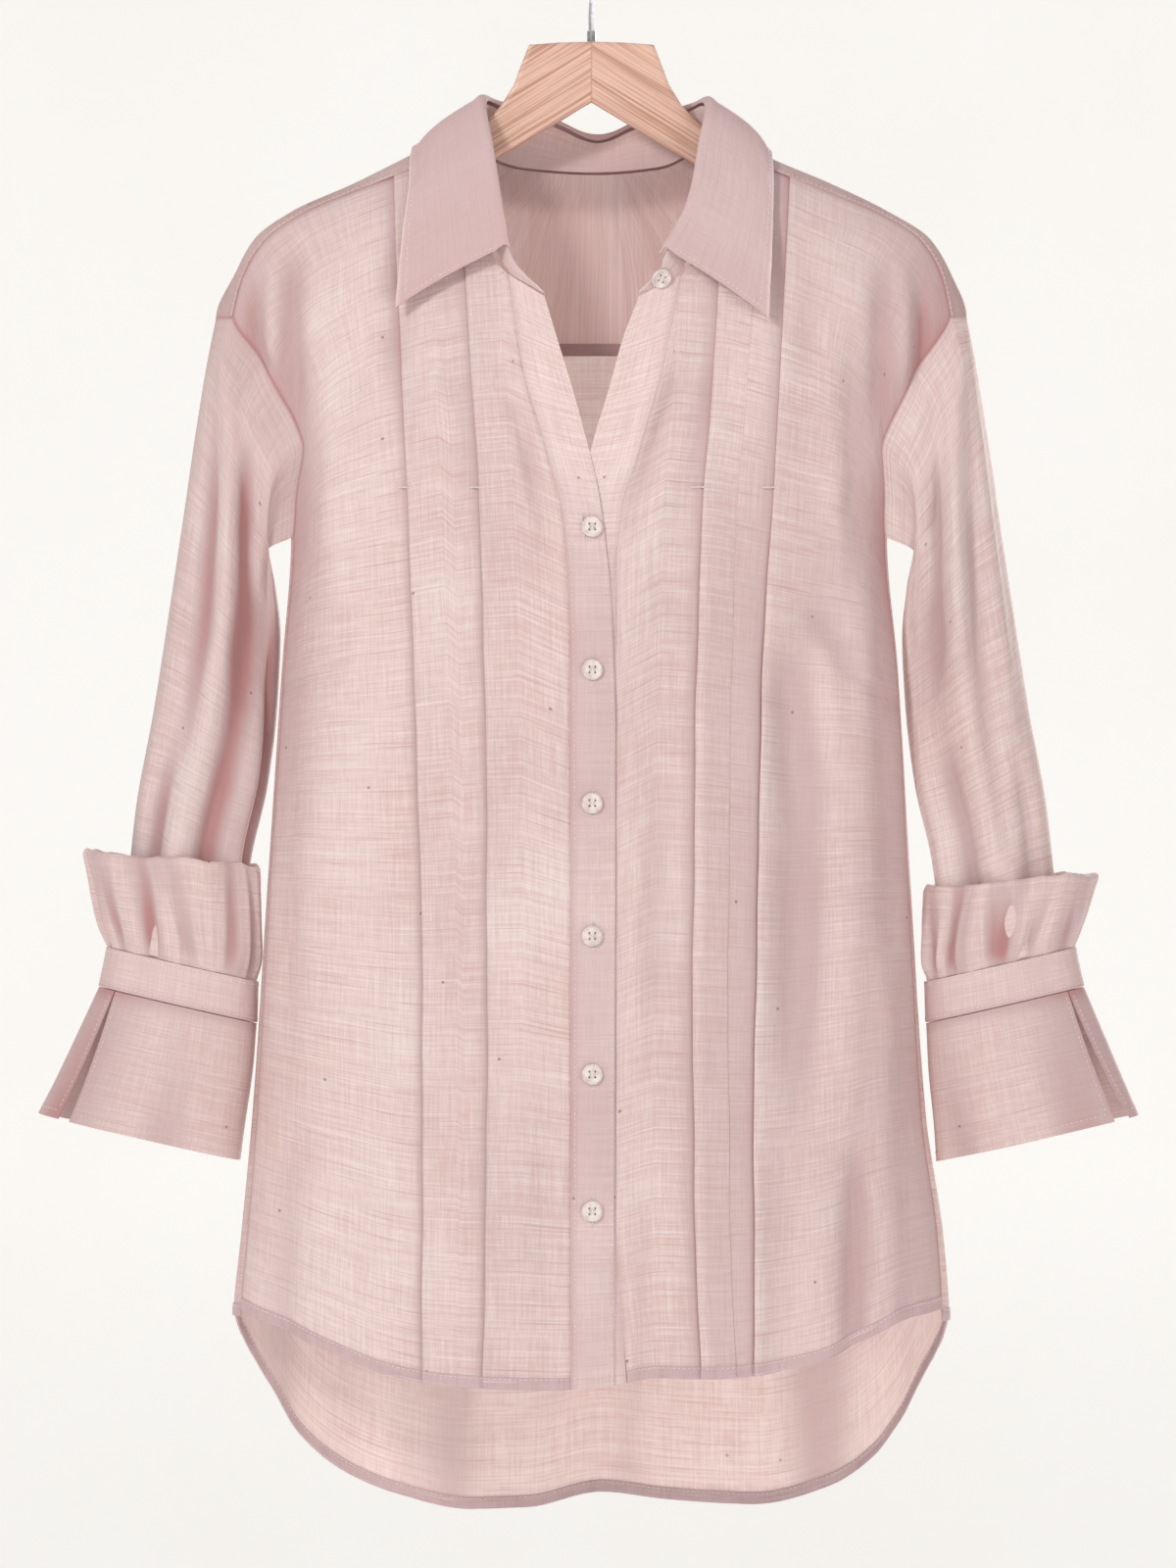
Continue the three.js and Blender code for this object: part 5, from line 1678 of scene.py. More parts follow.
@dataclass
class Placket:
    """The band down one front's edge, folded double."""

    panel: FrontPanel
    columns: int = 12
    rows: int = 230
    thickness: float = 1.1
    grid: Grid = field(init=False)

    def build(self) -> bpy.types.Object:
        """Make the band and return it."""
        side, seams = self.panel.side, self.panel.seams
        top = side is Side.RIGHT
        lift = TOP_BAND_LIFT if top else 0.0
        rows = np.linspace(NECK_PART, PANEL_PART, self.rows)
        seam = seams.band(side, rows)
        edge_x = Curve(BAND_EDGE[side])
        drop = NECK_END - BAND_TOP
        z = lerp(seam.z + drop, seam.z, smooth(rows - NECK_PART, 0, 4))
        turn = seams.body.turn_at(edge_x(z), z)
        low = ((rows - NECK_PART) / (PANEL_PART - NECK_PART)) ** 12
        z = z + (seams.front_hem(turn) - z[-1]) * low
        across = np.linspace(0, 1, self.columns)[None, :]
        start = Places(seam.turn[:, None], seam.z[:, None], seam.lift[:, None])
        end = Places(turn[:, None], z[:, None], 0 * z[:, None])
        places = start.mixed(end, across)
        ripple = 0.35 * sway(places.z / 17, 2.0 + side.sign) + 0.25 * sway(places.z / 7, 5.0)
        slack = np.abs(((places.z - BUTTON_HEIGHTS[0]) / BUTTON_PITCH + 0.5) % 1 - 0.5) * 2
        bow = 1.4 * slack * np.sin(math.pi * across) * smooth(-places.z, 395, 440)
        places.lift = places.lift + lift + ripple * (0.2 + across) * 0.8 + bow * (1 if top else 0.2)
        self.grid = seams.body.point(places, -MIDDLE)
        # Painted shade along the band's seam side; deeper from about the first button down, more on the top
        # band, with a slow random sway.
        painted_shade_and_tint = (0.30 if top else 0.12) * smooth(-places.z, 300, 420) + 0.12 * sway(places.z / 40, 1.5)
        painted_shade_and_tint = painted_shade_and_tint + 0.25 * bell(across, 0.12) + 0 * self.grid[..., 0]
        name, rests_on = f"placket_{side.value}", f"cloth_front_{side.value}"
        return sew(name, self.grid, self.thickness, BAND_CLOTH, painted_shade_and_tint)

    def face(self, part: float) -> tuple[np.ndarray, np.ndarray]:
        """Return a line down the band's outer face, and the way out of it.

        Args:
            part: how far across, from the seam to the free edge.

        Returns:
            The points and the outward directions.
        """
        place = part * (self.columns - 1)
        k = min(int(place), self.columns - 2)
        points, out = outer_face(self.grid, self.thickness / 2 + FACE_GAP)
        return lerp(points[:, k], points[:, k + 1], place - k), out[:, k]


@dataclass
class BackPanel:
    """The back, from the yoke's seam down to its long curved hem."""

    seams: Seams
    rows: int = 200
    columns: int = 136
    thickness: float = 0.6
    allowance: float = 8.0
    allowance_depth: float = 1.3
    allowance_wall: float = 0.8
    trough_shade: float = 0.5
    grid: Grid = field(init=False)
    places: Places = field(init=False)

    def build(self) -> bpy.types.Object:
        """Make the back and return it."""
        rows = np.linspace(0, PANEL_PART, self.rows)
        start = self.seams.side(Side.RIGHT, ARMHOLE_BACK, rows)
        end = self.seams.side(Side.LEFT, ARMHOLE_BACK, rows)
        places = loft([start, end], [self.columns])
        part = ((start.z[0] - start.z) / (start.z[0] - start.z[-1]))[:, None]
        hem = self.seams.back_hem(places.turn)
        across = smooth(np.minimum(places.turn - math.pi, TURN - places.turn), -0.2, 0.5)
        z = lerp(start.z[:, None], lerp(start.z[0], hem, part), across)
        places.z = z + (hem - z[-1]) * part**6 + HEM_TUCK * part**HEM_BEND
        self.places = places
        body = self.seams.body
        self.grid = body.point(places, -MIDDLE)
        # Painted shade in the folds' troughs.
        depth = body.rise(self.grid[..., 0], places.z, np.full(places.z.shape, False))
        painted_shade_and_tint = self.trough_shade * np.clip(-depth / TROUGH, 0, 1)
        weave = Weave.along(self.grid, shift=(0.1, 1.0))
        thing = shell("cloth_back", self.grid, self.thickness, weave=weave, painted_shade_and_tint=painted_shade_and_tint)
        settle(thing, SHEER_CLOTH, ["back"])
        declare(thing, self.grid, with_pieces=[self._hem(), self._allowance()])
        return thing

    def _allowance(self) -> bpy.types.Object:
        """Make the turned-down edge of the yoke's seam, seen inside the neck, and return it."""
        turn = np.linspace(math.pi + 0.5, TURN - 0.5, 110)[None, :]
        rows = np.linspace(0, self.allowance, 4)[:, None]
        ripple = 0.3 * sway(turn * 40, 1.0)
        places = Places.of(turn + 0 * rows, YOKE_BACK_SEAM + 1.0 - rows + 0 * turn, ripple + 0 * rows)
        grid = self.seams.body.point(places, -MIDDLE - self.allowance_depth)
        # Painted shade on the seam edge inside the neck.
        thing = shell("cloth_back_seam_edge", grid, self.allowance_wall, painted_shade_and_tint=0.35 + 0 * grid[..., 0])
        return settle(thing, HEM_CLOTH)

    def _hem(self) -> bpy.types.Object:
        """Make the narrow hem under the back and return it."""
        return make_hem("back", self.places.part(slice(-1, None)), self.seams, self.seams.back_hem, 1)


@dataclass
class Yoke:
    """The yoke over both shoulders, from the front seams to the back one."""

    seams: Seams
    rows: int = 56
    fine: int = 9
    thickness: float = 1.0
    grid: Grid = field(init=False)

    def outer(self, where: np.ndarray) -> Places:
        """Return the outer edge: armhole, back seam, armhole."""
        knots = []
        for side in (Side.RIGHT, Side.LEFT):
            more = TURN if side is Side.LEFT else 0
            knots.append([
                (float(side_turn(ARMHOLE_FRONT[0][1], side)) + more, YOKE_FRONT_END),
                (float(side_turn(0, side)) + more, SHOULDER_END),
                (float(side_turn(ARMHOLE_BACK[0][1], side)) + more, YOKE_BACK_SEAM),
            ])
        line = [*knots[0], *reversed(knots[1])]
        at = np.array([*RIGHT_CORNERS, *LEFT_CORNERS], dtype=float)
        turn, z = (np.interp(where, at, [row[k] for row in line]) for k in (0, 1))
        return Places.of(turn, z)

    def inner(self, where: np.ndarray) -> Places:
        """Return the neck edge."""
        part = where / YOKE_STEPS
        return Places.of(np.radians(Curve(NECK_ROUND, 0, 1)(part)), Curve(NECK_ROUND, 0, 2)(part))

    def place(self, part: Grid, where: Grid) -> Places:
        """Return places between the neck and the outer edge.

        Args:
            part: the part of the way out.
            where: how far round, in steps.

        Returns:
            The places.
        """
        def across(column: Grid) -> Places:
            """Return the places straight across at a column."""
            return self.inner(column).mixed(self.outer(column), part)

        def seam(side: Side, f: Grid) -> Places:
            """Return the front seam's places."""
            z = lerp(YOKE_FRONT_TOP, YOKE_FRONT_END, f)
            more = TURN if side is Side.LEFT else 0
            return Places.of(self.seams.yoke_turn(side, z) + more, z)

        places = across(where)
        zero = np.zeros_like(part)
        for side, edge, ridge in ((Side.RIGHT, *RIGHT_CORNERS[:2]), (Side.LEFT, *LEFT_CORNERS[:0:-1])):
            f = np.clip(np.abs(where - edge) / FRONT_STEPS, 0, 1)
            at_ridge = np.full_like(where, ridge)
            straight = seam(side, part).mixed(across(at_ridge), f)
            neck = seam(side, zero).mixed(self.inner(at_ridge), f)
            fix = (1 - part) ** 4
            own = self.inner(where)
            near = np.abs(where - edge) < FRONT_STEPS
            places.turn = np.where(near, straight.turn + (own.turn - neck.turn) * fix, places.turn)
            places.z = np.where(near, straight.z + (own.z - neck.z) * fix, places.z)
        return places

    def build(self) -> bpy.types.Object:
        """Make the yoke and return it."""
        steps = np.linspace(0, YOKE_STEPS, YOKE_STEPS * self.fine + 1)
        where, part = np.meshgrid(steps, np.linspace(0, 1, self.rows))
        places = self.place(part, where)
        from_end = np.minimum(where, YOKE_STEPS - where)
        back = bell(1 - part, 0.05) * ((where > RIGHT_CORNERS[2]) & (where < LEFT_CORNERS[0]))
        places.lift = places.lift + 0.9 * np.maximum(bell(from_end, 0.35), back * 0.6)
        self.grid = self.seams.body.point(places, -MIDDLE)
        # A slight deeper tone all over, and painted shade on the yoke's front parts toward the armholes.
        painted_shade_and_tint = 0.10 + 0.22 * smooth(part, 0.3, 1.0) * (1 - smooth(from_end, 3, 5))
        weave = Weave(self.grid[..., 0] * MM, arc_lengths(self.grid, 1)[None, :] + 0 * part)
        return sew("yoke", self.grid, self.thickness, YOKE_CLOTH, painted_shade_and_tint, weave=weave)


@dataclass
class Collar:
    """The stand that rises from the neck seam and the leaf that turns down over it."""

    seams: Seams
    yoke: Yoke
    fine: int = 6
    stand_rows: int = 11
    leaf_rows: int = 30
    leaf_columns: int = 150
    stand_wall: float = 1.2
    leaf_wall: float = 1.2
    roll: float = 4.3
    top_drop: float = 5.0
    foot_gap: float = 1.5
    clearance: float = 4.6
    tip: float = 0.12
    stand: Grid = field(init=False)
    leaf: Grid = field(init=False)

    def _feet(self) -> np.ndarray:
        """Return the points that the stand rises from, from the right end to the left end."""
        body, seams = self.seams.body, self.seams
        runs: list[Grid] = []
        for side in (Side.RIGHT, Side.LEFT):
            at = seams.band(side, np.array([NECK_PART]))
            z = at.z + (NECK_END - BAND_TOP)
            edge = Places.of(body.turn_at(Curve(BAND_EDGE[side])(z), z), z)
            lift = TOP_BAND_LIFT if side is Side.RIGHT else 0.0
            band = [body.point(at.mixed(edge, f), lift)[0] for f in (0.5, 1.0)]
            down = [body.point(seams.band(side, np.array([float(row)])))[0] for row in (1, 2, 3)]
            runs.append(np.array(down + band))
        neck = body.point(self.yoke.inner(np.arange(YOKE_STEPS + 1.0)))
        return np.concatenate([runs[0][::-1], neck, runs[1]])

    def _stand_grid(self) -> Grid:
        """Return the stand's grid, from its foot to its top."""
        foot = self._feet()
        last = len(foot) - 1
        k = np.arange(last + 1)
        fold = spline(np.array(COLLAR_FOLD), np.clip((k - 2) / (last - 4), 0, 1))
        top = fold + unit(foot - fold) * self.top_drop
        end = np.minimum(np.minimum(k, last - k) / 2, 1)[:, None]
        rise = np.where(end < 1, self.tip + (1 - self.tip) * end, 1)
        top = foot + (top - foot) * rise
        away = unit(top - foot)
        foot = foot + away * self.foot_gap
        foot[:, 0] -= np.sign(foot[:, 0]) * 0.8
        rows = np.stack([lerp(foot, top, f) for f in (0, 0.35, 0.7, 1)])
        return resample(rows, self.stand_rows, last * self.fine + 1)

    def build_stand(self) -> bpy.types.Object:
        """Make the stand and return it."""
        grid = self._stand_grid()
        self.stand = grid + grid_normals(grid) * self.stand_wall / 2
        rows = np.linspace(1, 0, len(grid))[:, None]
        # Painted shade, deepest at the stand's foot under the leaf.
        painted_shade_and_tint = 0.18 + 0.2 * rows + 0 * grid[..., 0]
        return sew("collar_stand", self.stand, self.stand_wall, LEAF_CLOTH, painted_shade_and_tint)

    def _clear(self, points: Grid) -> Grid:
        """Return the points pushed off the body where they are too near to it."""
        body = self.seams.body
        moved = points.copy()
        for _ in range(4):
            x, y = moved[..., 0], moved[..., 1]
            z = np.minimum(moved[..., 2], BODY_SECTIONS[0][0])
            a = body.half(z)
            b = np.where(y < 0, body.ahead(z), body.behind(z))
            dx, dy = (x - body.middle(z)) / a, y / b
            radius = np.hypot(dx, dy)
            ahead = body.half(z + body.step) - body.half(z - body.step)
            slope = np.stack([dx / a, dy / b, -(radius * ahead) / a], axis=-1)
            distance = (radius - 1) / np.maximum(np.linalg.norm(slope, axis=-1), 1e-9) * radius
            push = np.maximum(self.clearance - distance, 0)
            moved = moved + unit(slope) * push[..., None]
        return moved

    def build_leaf(self) -> bpy.types.Object:
        """Make the turned-down collar and return it."""
        f = np.linspace(0, 1, self.leaf_columns)
        fold = spline(np.array(COLLAR_FOLD), f)
        edge = spline(np.array(COLLAR_EDGE), f)
        bulge = Curve([(i / (len(COLLAR_BULGE) - 1), b) for i, b in enumerate(COLLAR_BULGE)])(f)[:, None]
        out = edge - fold
        out[:, 2] = 0
        out = unit(out)
        up = np.array([0, 0, 1.0])
        rows = [fold + out * aside + up * above for aside, above in COLLAR_ROLL]
        start = fold + out * (self.roll + 1.2)
        parts = [0.05, 0.12, *np.linspace(0.2, 1, 9)]
        wave = 1.1 * sway(f * 9, 2.2)[:, None] + 0.5 * sway(f * 27, 4.0)[:, None]
        for w in parts:
            push = bulge * math.sin(math.pi * w) + wave * math.sin(math.pi * w * 0.75)
            point = lerp(start, edge, w) + out * push
            rows.append(self._clear(point) if w >= 0.15 else point)
        grid = resample(np.stack(rows), self.leaf_rows, self.leaf_columns)
        self.leaf = grid - grid_normals(grid) * self.leaf_wall / 2
        down = np.linspace(0, 1, self.leaf_rows)[:, None]
        # A deeper tone over the whole leaf with a slow random sway; along its outer edge it is left light, a
        # painted edge highlight.
        painted_shade_and_tint = 0.42 + 0.1 * sway(f * 11, 1.0)[None, :] - 0.4 * bell(1 - down, 0.02)
        return sew("collar", self.leaf, self.leaf_wall, LEAF_CLOTH, painted_shade_and_tint)


@dataclass(frozen=True)
class SleeveFold:
    """A long fold of a sleeve: where it runs round it and down it, in degrees and parts."""

    angle: float
    start: float
    end: float
    rise: float
    width: float
    drift: float = 0.0

    def height(self, degrees: Grid, part: Grid) -> Grid:
        """Return how far the fold lifts the cloth.

        Args:
            degrees: places round the sleeve, from its outer side over the front.
            part: places down it.

        Returns:
            The lift.
        """
        along = (part - self.start) / (self.end - self.start)
        line = self.angle + self.drift * along
        away = (degrees - line + 180) % 360 - 180
        ends = smooth(along, -0.02, 0.3) * (1 - smooth(along, 0.7, 1.02))
        return self.rise * bell(away, self.width) * ends


# Painted shade on a sleeve: in its troughs, on its inner side by the body, on its outer side, and all over
# (more on the right sleeve and less on the left, as the light falls)
SLEEVE_PAINTED_SHADE = {Side.RIGHT: (0.7, 0.3, 0.22, 0.12), Side.LEFT: (0.5, 0.15, 0.0, -0.1)}
# Rows of sleeve folds: angle, start, end, rise, width and drift
SLEEVE_FOLDS = {
    Side.RIGHT: (
        (100, 0.10, 0.62, -6.5, 15, 14), (72, 0.02, 0.50, 4.0, 15, 20), (128, 0.02, 0.40, 3.0, 12, -8),
        (58, 0.14, 0.80, -4.0, 12, 18), (84, 0.45, 1.02, 4.5, 14, -16), (112, 0.50, 1.05, -5.0, 14, -10),
        (52, 0.62, 1.05, -4.0, 12, 4), (30, 0.20, 0.95, 2.5, 12, 6), (138, 0.48, 1.0, 3.5, 12, 4),
        (155, 0.30, 0.90, -3.5, 12, 0), (95, 0.80, 1.08, -3.0, 8, 2), (68, 0.82, 1.08, 2.6, 8, -3),
        (215, 0.10, 0.85, -4.5, 18, 10), (250, 0.05, 0.75, 4.0, 17, 12), (285, 0.20, 0.95, -4.5, 16, -10),
        (320, 0.10, 0.80, 3.0, 14, 8), (238, 0.55, 1.05, 3.5, 13, -8), (268, 0.70, 1.08, -3.0, 11, 6),
    ),
    Side.LEFT: (
        (104, 0.08, 0.58, -6.0, 16, 12), (76, 0.02, 0.55, 4.5, 14, 14), (60, 0.18, 0.90, -4.5, 12, 24),
        (40, 0.10, 0.72, 2.6, 12, 8), (126, 0.04, 0.42, 3.2, 12, -6), (90, 0.46, 1.05, 4.5, 15, -10),
        (118, 0.52, 1.05, -5.0, 14, -6), (46, 0.60, 1.05, -3.0, 12, 8), (144, 0.50, 1.0, 3.0, 12, 2),
        (104, 0.82, 1.08, -3.0, 8, -4), (74, 0.80, 1.08, 2.8, 9, 2), (210, 0.12, 0.80, -4.0, 17, 14),
        (244, 0.04, 0.70, 4.4, 16, 10), (280, 0.24, 1.0, -4.2, 17, -12), (318, 0.08, 0.75, 3.2, 14, 6),
        (230, 0.60, 1.05, 3.2, 12, -6), (262, 0.72, 1.08, -3.0, 12, 4),
    ),
}


@dataclass
class Sleeve:
    """A sleeve that hangs from its armhole beside the body."""

    side: Side
    seams: Seams
    yoke: Yoke
    rows: int = 170
    columns: int = 132
    thickness: float = 0.7
    blend: float = 0.3
    sink_turn: float = 2.35
    sink_width: float = 0.42
    trough: float = 6.0

    def armhole(self, where: np.ndarray) -> Places:
        """Return places round the armhole, from the shoulder's end down the front."""
        seams, side = self.seams, self.side
        ends = RIGHT_CORNERS if side is Side.RIGHT else LEFT_CORNERS[::-1]
        start, tip, end = (self.yoke.outer(np.array([float(step)])) for step in ends)
        low, under, high = ARMHOLE_CORNERS
        front = seams.side(side, ARMHOLE_FRONT, np.clip(where - low, 0, ARMHOLE_PART))
        rear = seams.side(side, ARMHOLE_BACK, np.clip(high - where, 0, ARMHOLE_PART))
        front.turn += TURN if side is Side.LEFT else 0
        first = tip.mixed(start, np.clip(where / low, 0, 1))
        last = end.mixed(tip, np.clip((where - high) / low, 0, 1))
        parts = [where < low, where < under, where < high]
        turn = np.select(parts, [first.turn, front.turn, rear.turn], last.turn)
        return Places.of(turn, np.select(parts, [first.z, front.z, rear.z], last.z))

    def build(self) -> bpy.types.Object:
        """Make the sleeve and return it."""
        names = ("outer", "outer_z", "inner", "inner_z", "centre", "front", "back", "sink")
        count = len(SLEEVE_SECTIONS) - 1
        rows = [(i / count, *row) for i, row in enumerate(SLEEVE_SECTIONS)]
        read = {name: Curve(rows, 0, k + 1) for k, name in enumerate(names)}
        where = np.arange(self.columns) * ARMHOLE_STEPS / self.columns
        angle = TURN * where / ARMHOLE_STEPS
        sign = self.side.sign

        def oval(part: Grid, turn: Grid, rise: Grid | float) -> Grid:
            """Return points of the sleeve's sections."""
            middle = (read["outer"](part) + read["inner"](part)) / 2
            reach = (read["outer"](part) - read["inner"](part)) / 2
            middle_z = (read["outer_z"](part) + read["inner_z"](part)) / 2
            reach_z = (read["outer_z"](part) - read["inner_z"](part)) / 2
            hollow = 1 - read["sink"](part) * bell(turn - self.sink_turn, self.sink_width)
            sine, cosine = np.sin(turn), np.cos(turn)
            depth = np.where(sine > 0, read["front"](part) * hollow, read["back"](part))
            x = middle + (reach + rise) * cosine
            y = read["centre"](part) - (depth + rise) * sine
            return np.stack([sign * x, y, middle_z + reach_z * cosine], axis=-1)

        part = np.linspace(0, 1, self.rows)[:, None] + 0 * angle[None, :]
        turn = angle[None, :] + 0 * part
        degrees = np.degrees(turn)
        rise = np.zeros_like(part)
        for row in SLEEVE_FOLDS[self.side]:
            rise += SLEEVE_FOLD_DEPTH * SleeveFold(*row).height(degrees, part)
        gather = 1.3 * np.cos(turn * 15 + 1.2 * np.sin(2 * turn)) * smooth(part, 0.9, 1.0)
        keep = 1 - smooth(part, 0, self.blend)
        edge = self.seams.body.point(self.armhole(where), -MIDDLE)
        start = oval(np.zeros_like(angle), angle, 0)
        calm = smooth(part, 0.01, 0.12)
        grid = oval(part, turn, (rise + gather) * calm) + (edge - start)[None] * keep[..., None]
        troughs, inner, outer, whole = SLEEVE_PAINTED_SHADE[self.side]
        # Painted shade in the troughs, on the inner and outer sides, all over, and along the armhole seam.
        painted_shade_and_tint = troughs * np.clip(-rise / self.trough, 0, 1)
        painted_shade_and_tint += inner * bell(degrees - 150, 26) * smooth(part, 0.1, 0.4)
        painted_shade_and_tint += outer * bell(np.minimum(degrees, 360 - degrees), 34)
        painted_shade_and_tint += 0.6 * bell(part, 0.006) + 0.12 * bell(part, 0.12) + whole
        name = f"sleeve_{self.side.value}"
        weave = Weave.along(grid, closed=True, shift=(0.5 * (sign > 0), 2.0))
        return sew(name, grid, self.thickness, SHELL_CLOTH, painted_shade_and_tint, True, weave)


@dataclass
class SleeveEnd:
    """The gathered turned-up end of a sleeve, its cuff band and the flared cuff below."""

    side: Side
    columns: int = 240
    puff_rows: int = 44
    thickness: float = 0.8
    turn_in: float = 1.4
    turn_length: float = 0.12
    deepest: float = -2.4
    band_wall: float = 1.5
    flare_wall: float = 1.0
    band: Grid = field(init=False)
    flare: Grid = field(init=False)

    def ring(self, row: Sequence[Grid], angle: Grid, more: Grid | float = 0.0) -> Grid:
        """Return points of slanted oval rings.

        Args:
            row: x, z, tilt, across and depth of the rings.
            angle: places round them, from the outer side over the front.
            more: how far off them.

        Returns:
            The points.
        """
        x, z, tilt, across, depth = row[:5]
        reach = (across + more) * np.cos(angle)
        slant = np.radians(tilt)
        return np.stack([
            self.side.sign * (x + reach * np.cos(slant)),
            CUFF_MIDDLE - (depth + more) * np.sin(angle) + 0 * reach,
            z + reach * np.sin(slant),
        ], axis=-1)

    def build_puff(self) -> bpy.types.Object:
        """Make the gathered end, turned over at its rim, and return it."""
        settle_by = PUFF_SETTLE[self.side]
        foot = PUFF_RINGS[0][1]
        crest = max(row[1] for row in PUFF_RINGS)
        points = np.array(PUFF_RINGS, dtype=float)
        points[:, 1] -= settle_by * (points[:, 1] - foot) / (crest - foot)
        part = np.linspace(0, 1, self.puff_rows)
        fine = spline(points, part)
        angle = np.linspace(0, TURN, self.columns, endpoint=False)[None, :]
        column = [fine[:, k][:, None] for k in range(6)]
        seed = 0.0 if self.side is Side.RIGHT else 2.6
        wave = np.cos(13 * angle + 0.9 * np.sin(2 * angle) + 0.6 * np.sin(5 * angle))
        sharp = np.sign(wave) * np.abs(wave) ** 0.7
        strong = 0.75 + 0.55 * sway(angle * 2, 1.0 + seed)
        small = 0.5 * np.cos(31 * angle + 2 * np.sin(3 * angle) + seed)
        top = int(np.argmax(fine[:, 1]))
        height = np.clip((fine[:, 1] - fine[0, 1]) / (fine[top, 1] - fine[0, 1]), 0, 1)
        inside = np.interp(height, height[:top + 1], fine[:top + 1, 5])
        gather = np.where(part > part[top], inside, fine[:, 5])[:, None]
        down = height[:, None]
        fade = np.clip(gather / 2.2, 0.15, 1)
        lean = 0.12 * np.sin(5 * angle + 3 * down + seed)
        slow = np.cos(7 * (angle + lean) + 1.1 * np.sin(2 * angle + seed))
        more = gather * sharp * strong * 1.25 + small * fade + 1.3 * slow * smooth(down, 0.2, 0.9)
        turned = smooth(part, part[top], part[top] + self.turn_length)[:, None]
        more = np.maximum(more, self.deepest) - self.turn_in * turned
        grid = self.ring(column, angle + lean * 0.4, more)
        rim = 1.6 * sway(angle * 3, 2.0 + seed) + 0.8 * sway(angle * 8, seed)
        grid[..., 2] += rim * smooth(down, 0.3, 1.0)
        # Painted shade in the troughs of the gathers.
        painted_shade_and_tint = 0.75 * np.clip(-sharp * strong, 0, 1) * fade + 0.3 * np.clip(-slow, 0, 1) + 0.05
        name, rests_on = f"puff_{self.side.value}", f"cloth_cuff_band_{self.side.value}"
        return sew(name, grid, self.thickness, SHELL_CLOTH, painted_shade_and_tint, closed=True)

    def build_band(self) -> bpy.types.Object:
        """Make the flat cuff band and return it."""
        part = np.linspace(0, 1, 12)[:, None]
        low, high = CUFF_BAND_RINGS
        column = [lerp(a, b, part) for a, b in zip(low, high)]
        angle = np.linspace(0, TURN, self.columns, endpoint=False)[None, :]
        ripple = 0.25 * np.cos(24 * angle + 2 * np.sin(3 * angle)) * np.exp(-part / 0.22)
        ripple = ripple + 0.35 * sway(angle * 4, 3.0) * np.sin(math.pi * part)
        self.band = self.ring(column, angle, 0.2 + ripple)
        # Painted shade, with a slow sway round the cuff, deepest along its lower edge where the flare is sewn
        # on.
        painted_shade_and_tint = 0.22 + 0.25 * np.clip(sway(angle * 2, 1.0), 0, 1) + 0.25 * bell(part - 1, 0.1)
        name, rests_on = f"cuff_band_{self.side.value}", f"cloth_sleeve_{self.side.value}"
        return sew(name, self.band, self.band_wall, BAND_CLOTH, painted_shade_and_tint, closed=True)

    def build_flare(self) -> bpy.types.Object:
        """Make the flared cuff with its vent, and return it."""
        rows, columns = 40, 200
        part = np.linspace(0, 1, rows)
        fine = spline(np.array(FLARE_RINGS, dtype=float), part)
        column = [fine[:, k][:, None] for k in range(6)]
        f = np.linspace(0, 1, columns)[None, :]
        gap = np.radians(column[5])
        angle = VENT_ANGLE + gap / 2 + f * (TURN - gap)
        down = part[:, None]
        seed = 0.5 if self.side is Side.RIGHT else 3.4
        soft = 2.0 * np.cos(5 * angle + seed) + 0.9 * sway(angle * 3, seed)
        edge = bell(np.minimum(f, 1 - f), 0.035)
        more = soft * down**1.4 - 1.2 * edge * np.sin(math.pi * down)
        self.flare = self.ring(column, angle, more)
        # Painted shade: at both vent edges, where the inside shows, in the troughs of its waves, and along
        # its top under the band.
        painted_shade_and_tint = 0.1 + 0.3 * bell(f, 0.08) + 0.3 * np.clip(-np.cos(5 * angle + seed), 0, 1) * down
        painted_shade_and_tint = painted_shade_and_tint + 0.4 * bell(1 - f, 0.16) + 0.3 * bell(down, 0.06)
        name, rests_on = f"cuff_flare_{self.side.value}", f"cloth_cuff_band_{self.side.value}"
        return sew(name, self.flare, self.flare_wall, SHELL_CLOTH, painted_shade_and_tint)


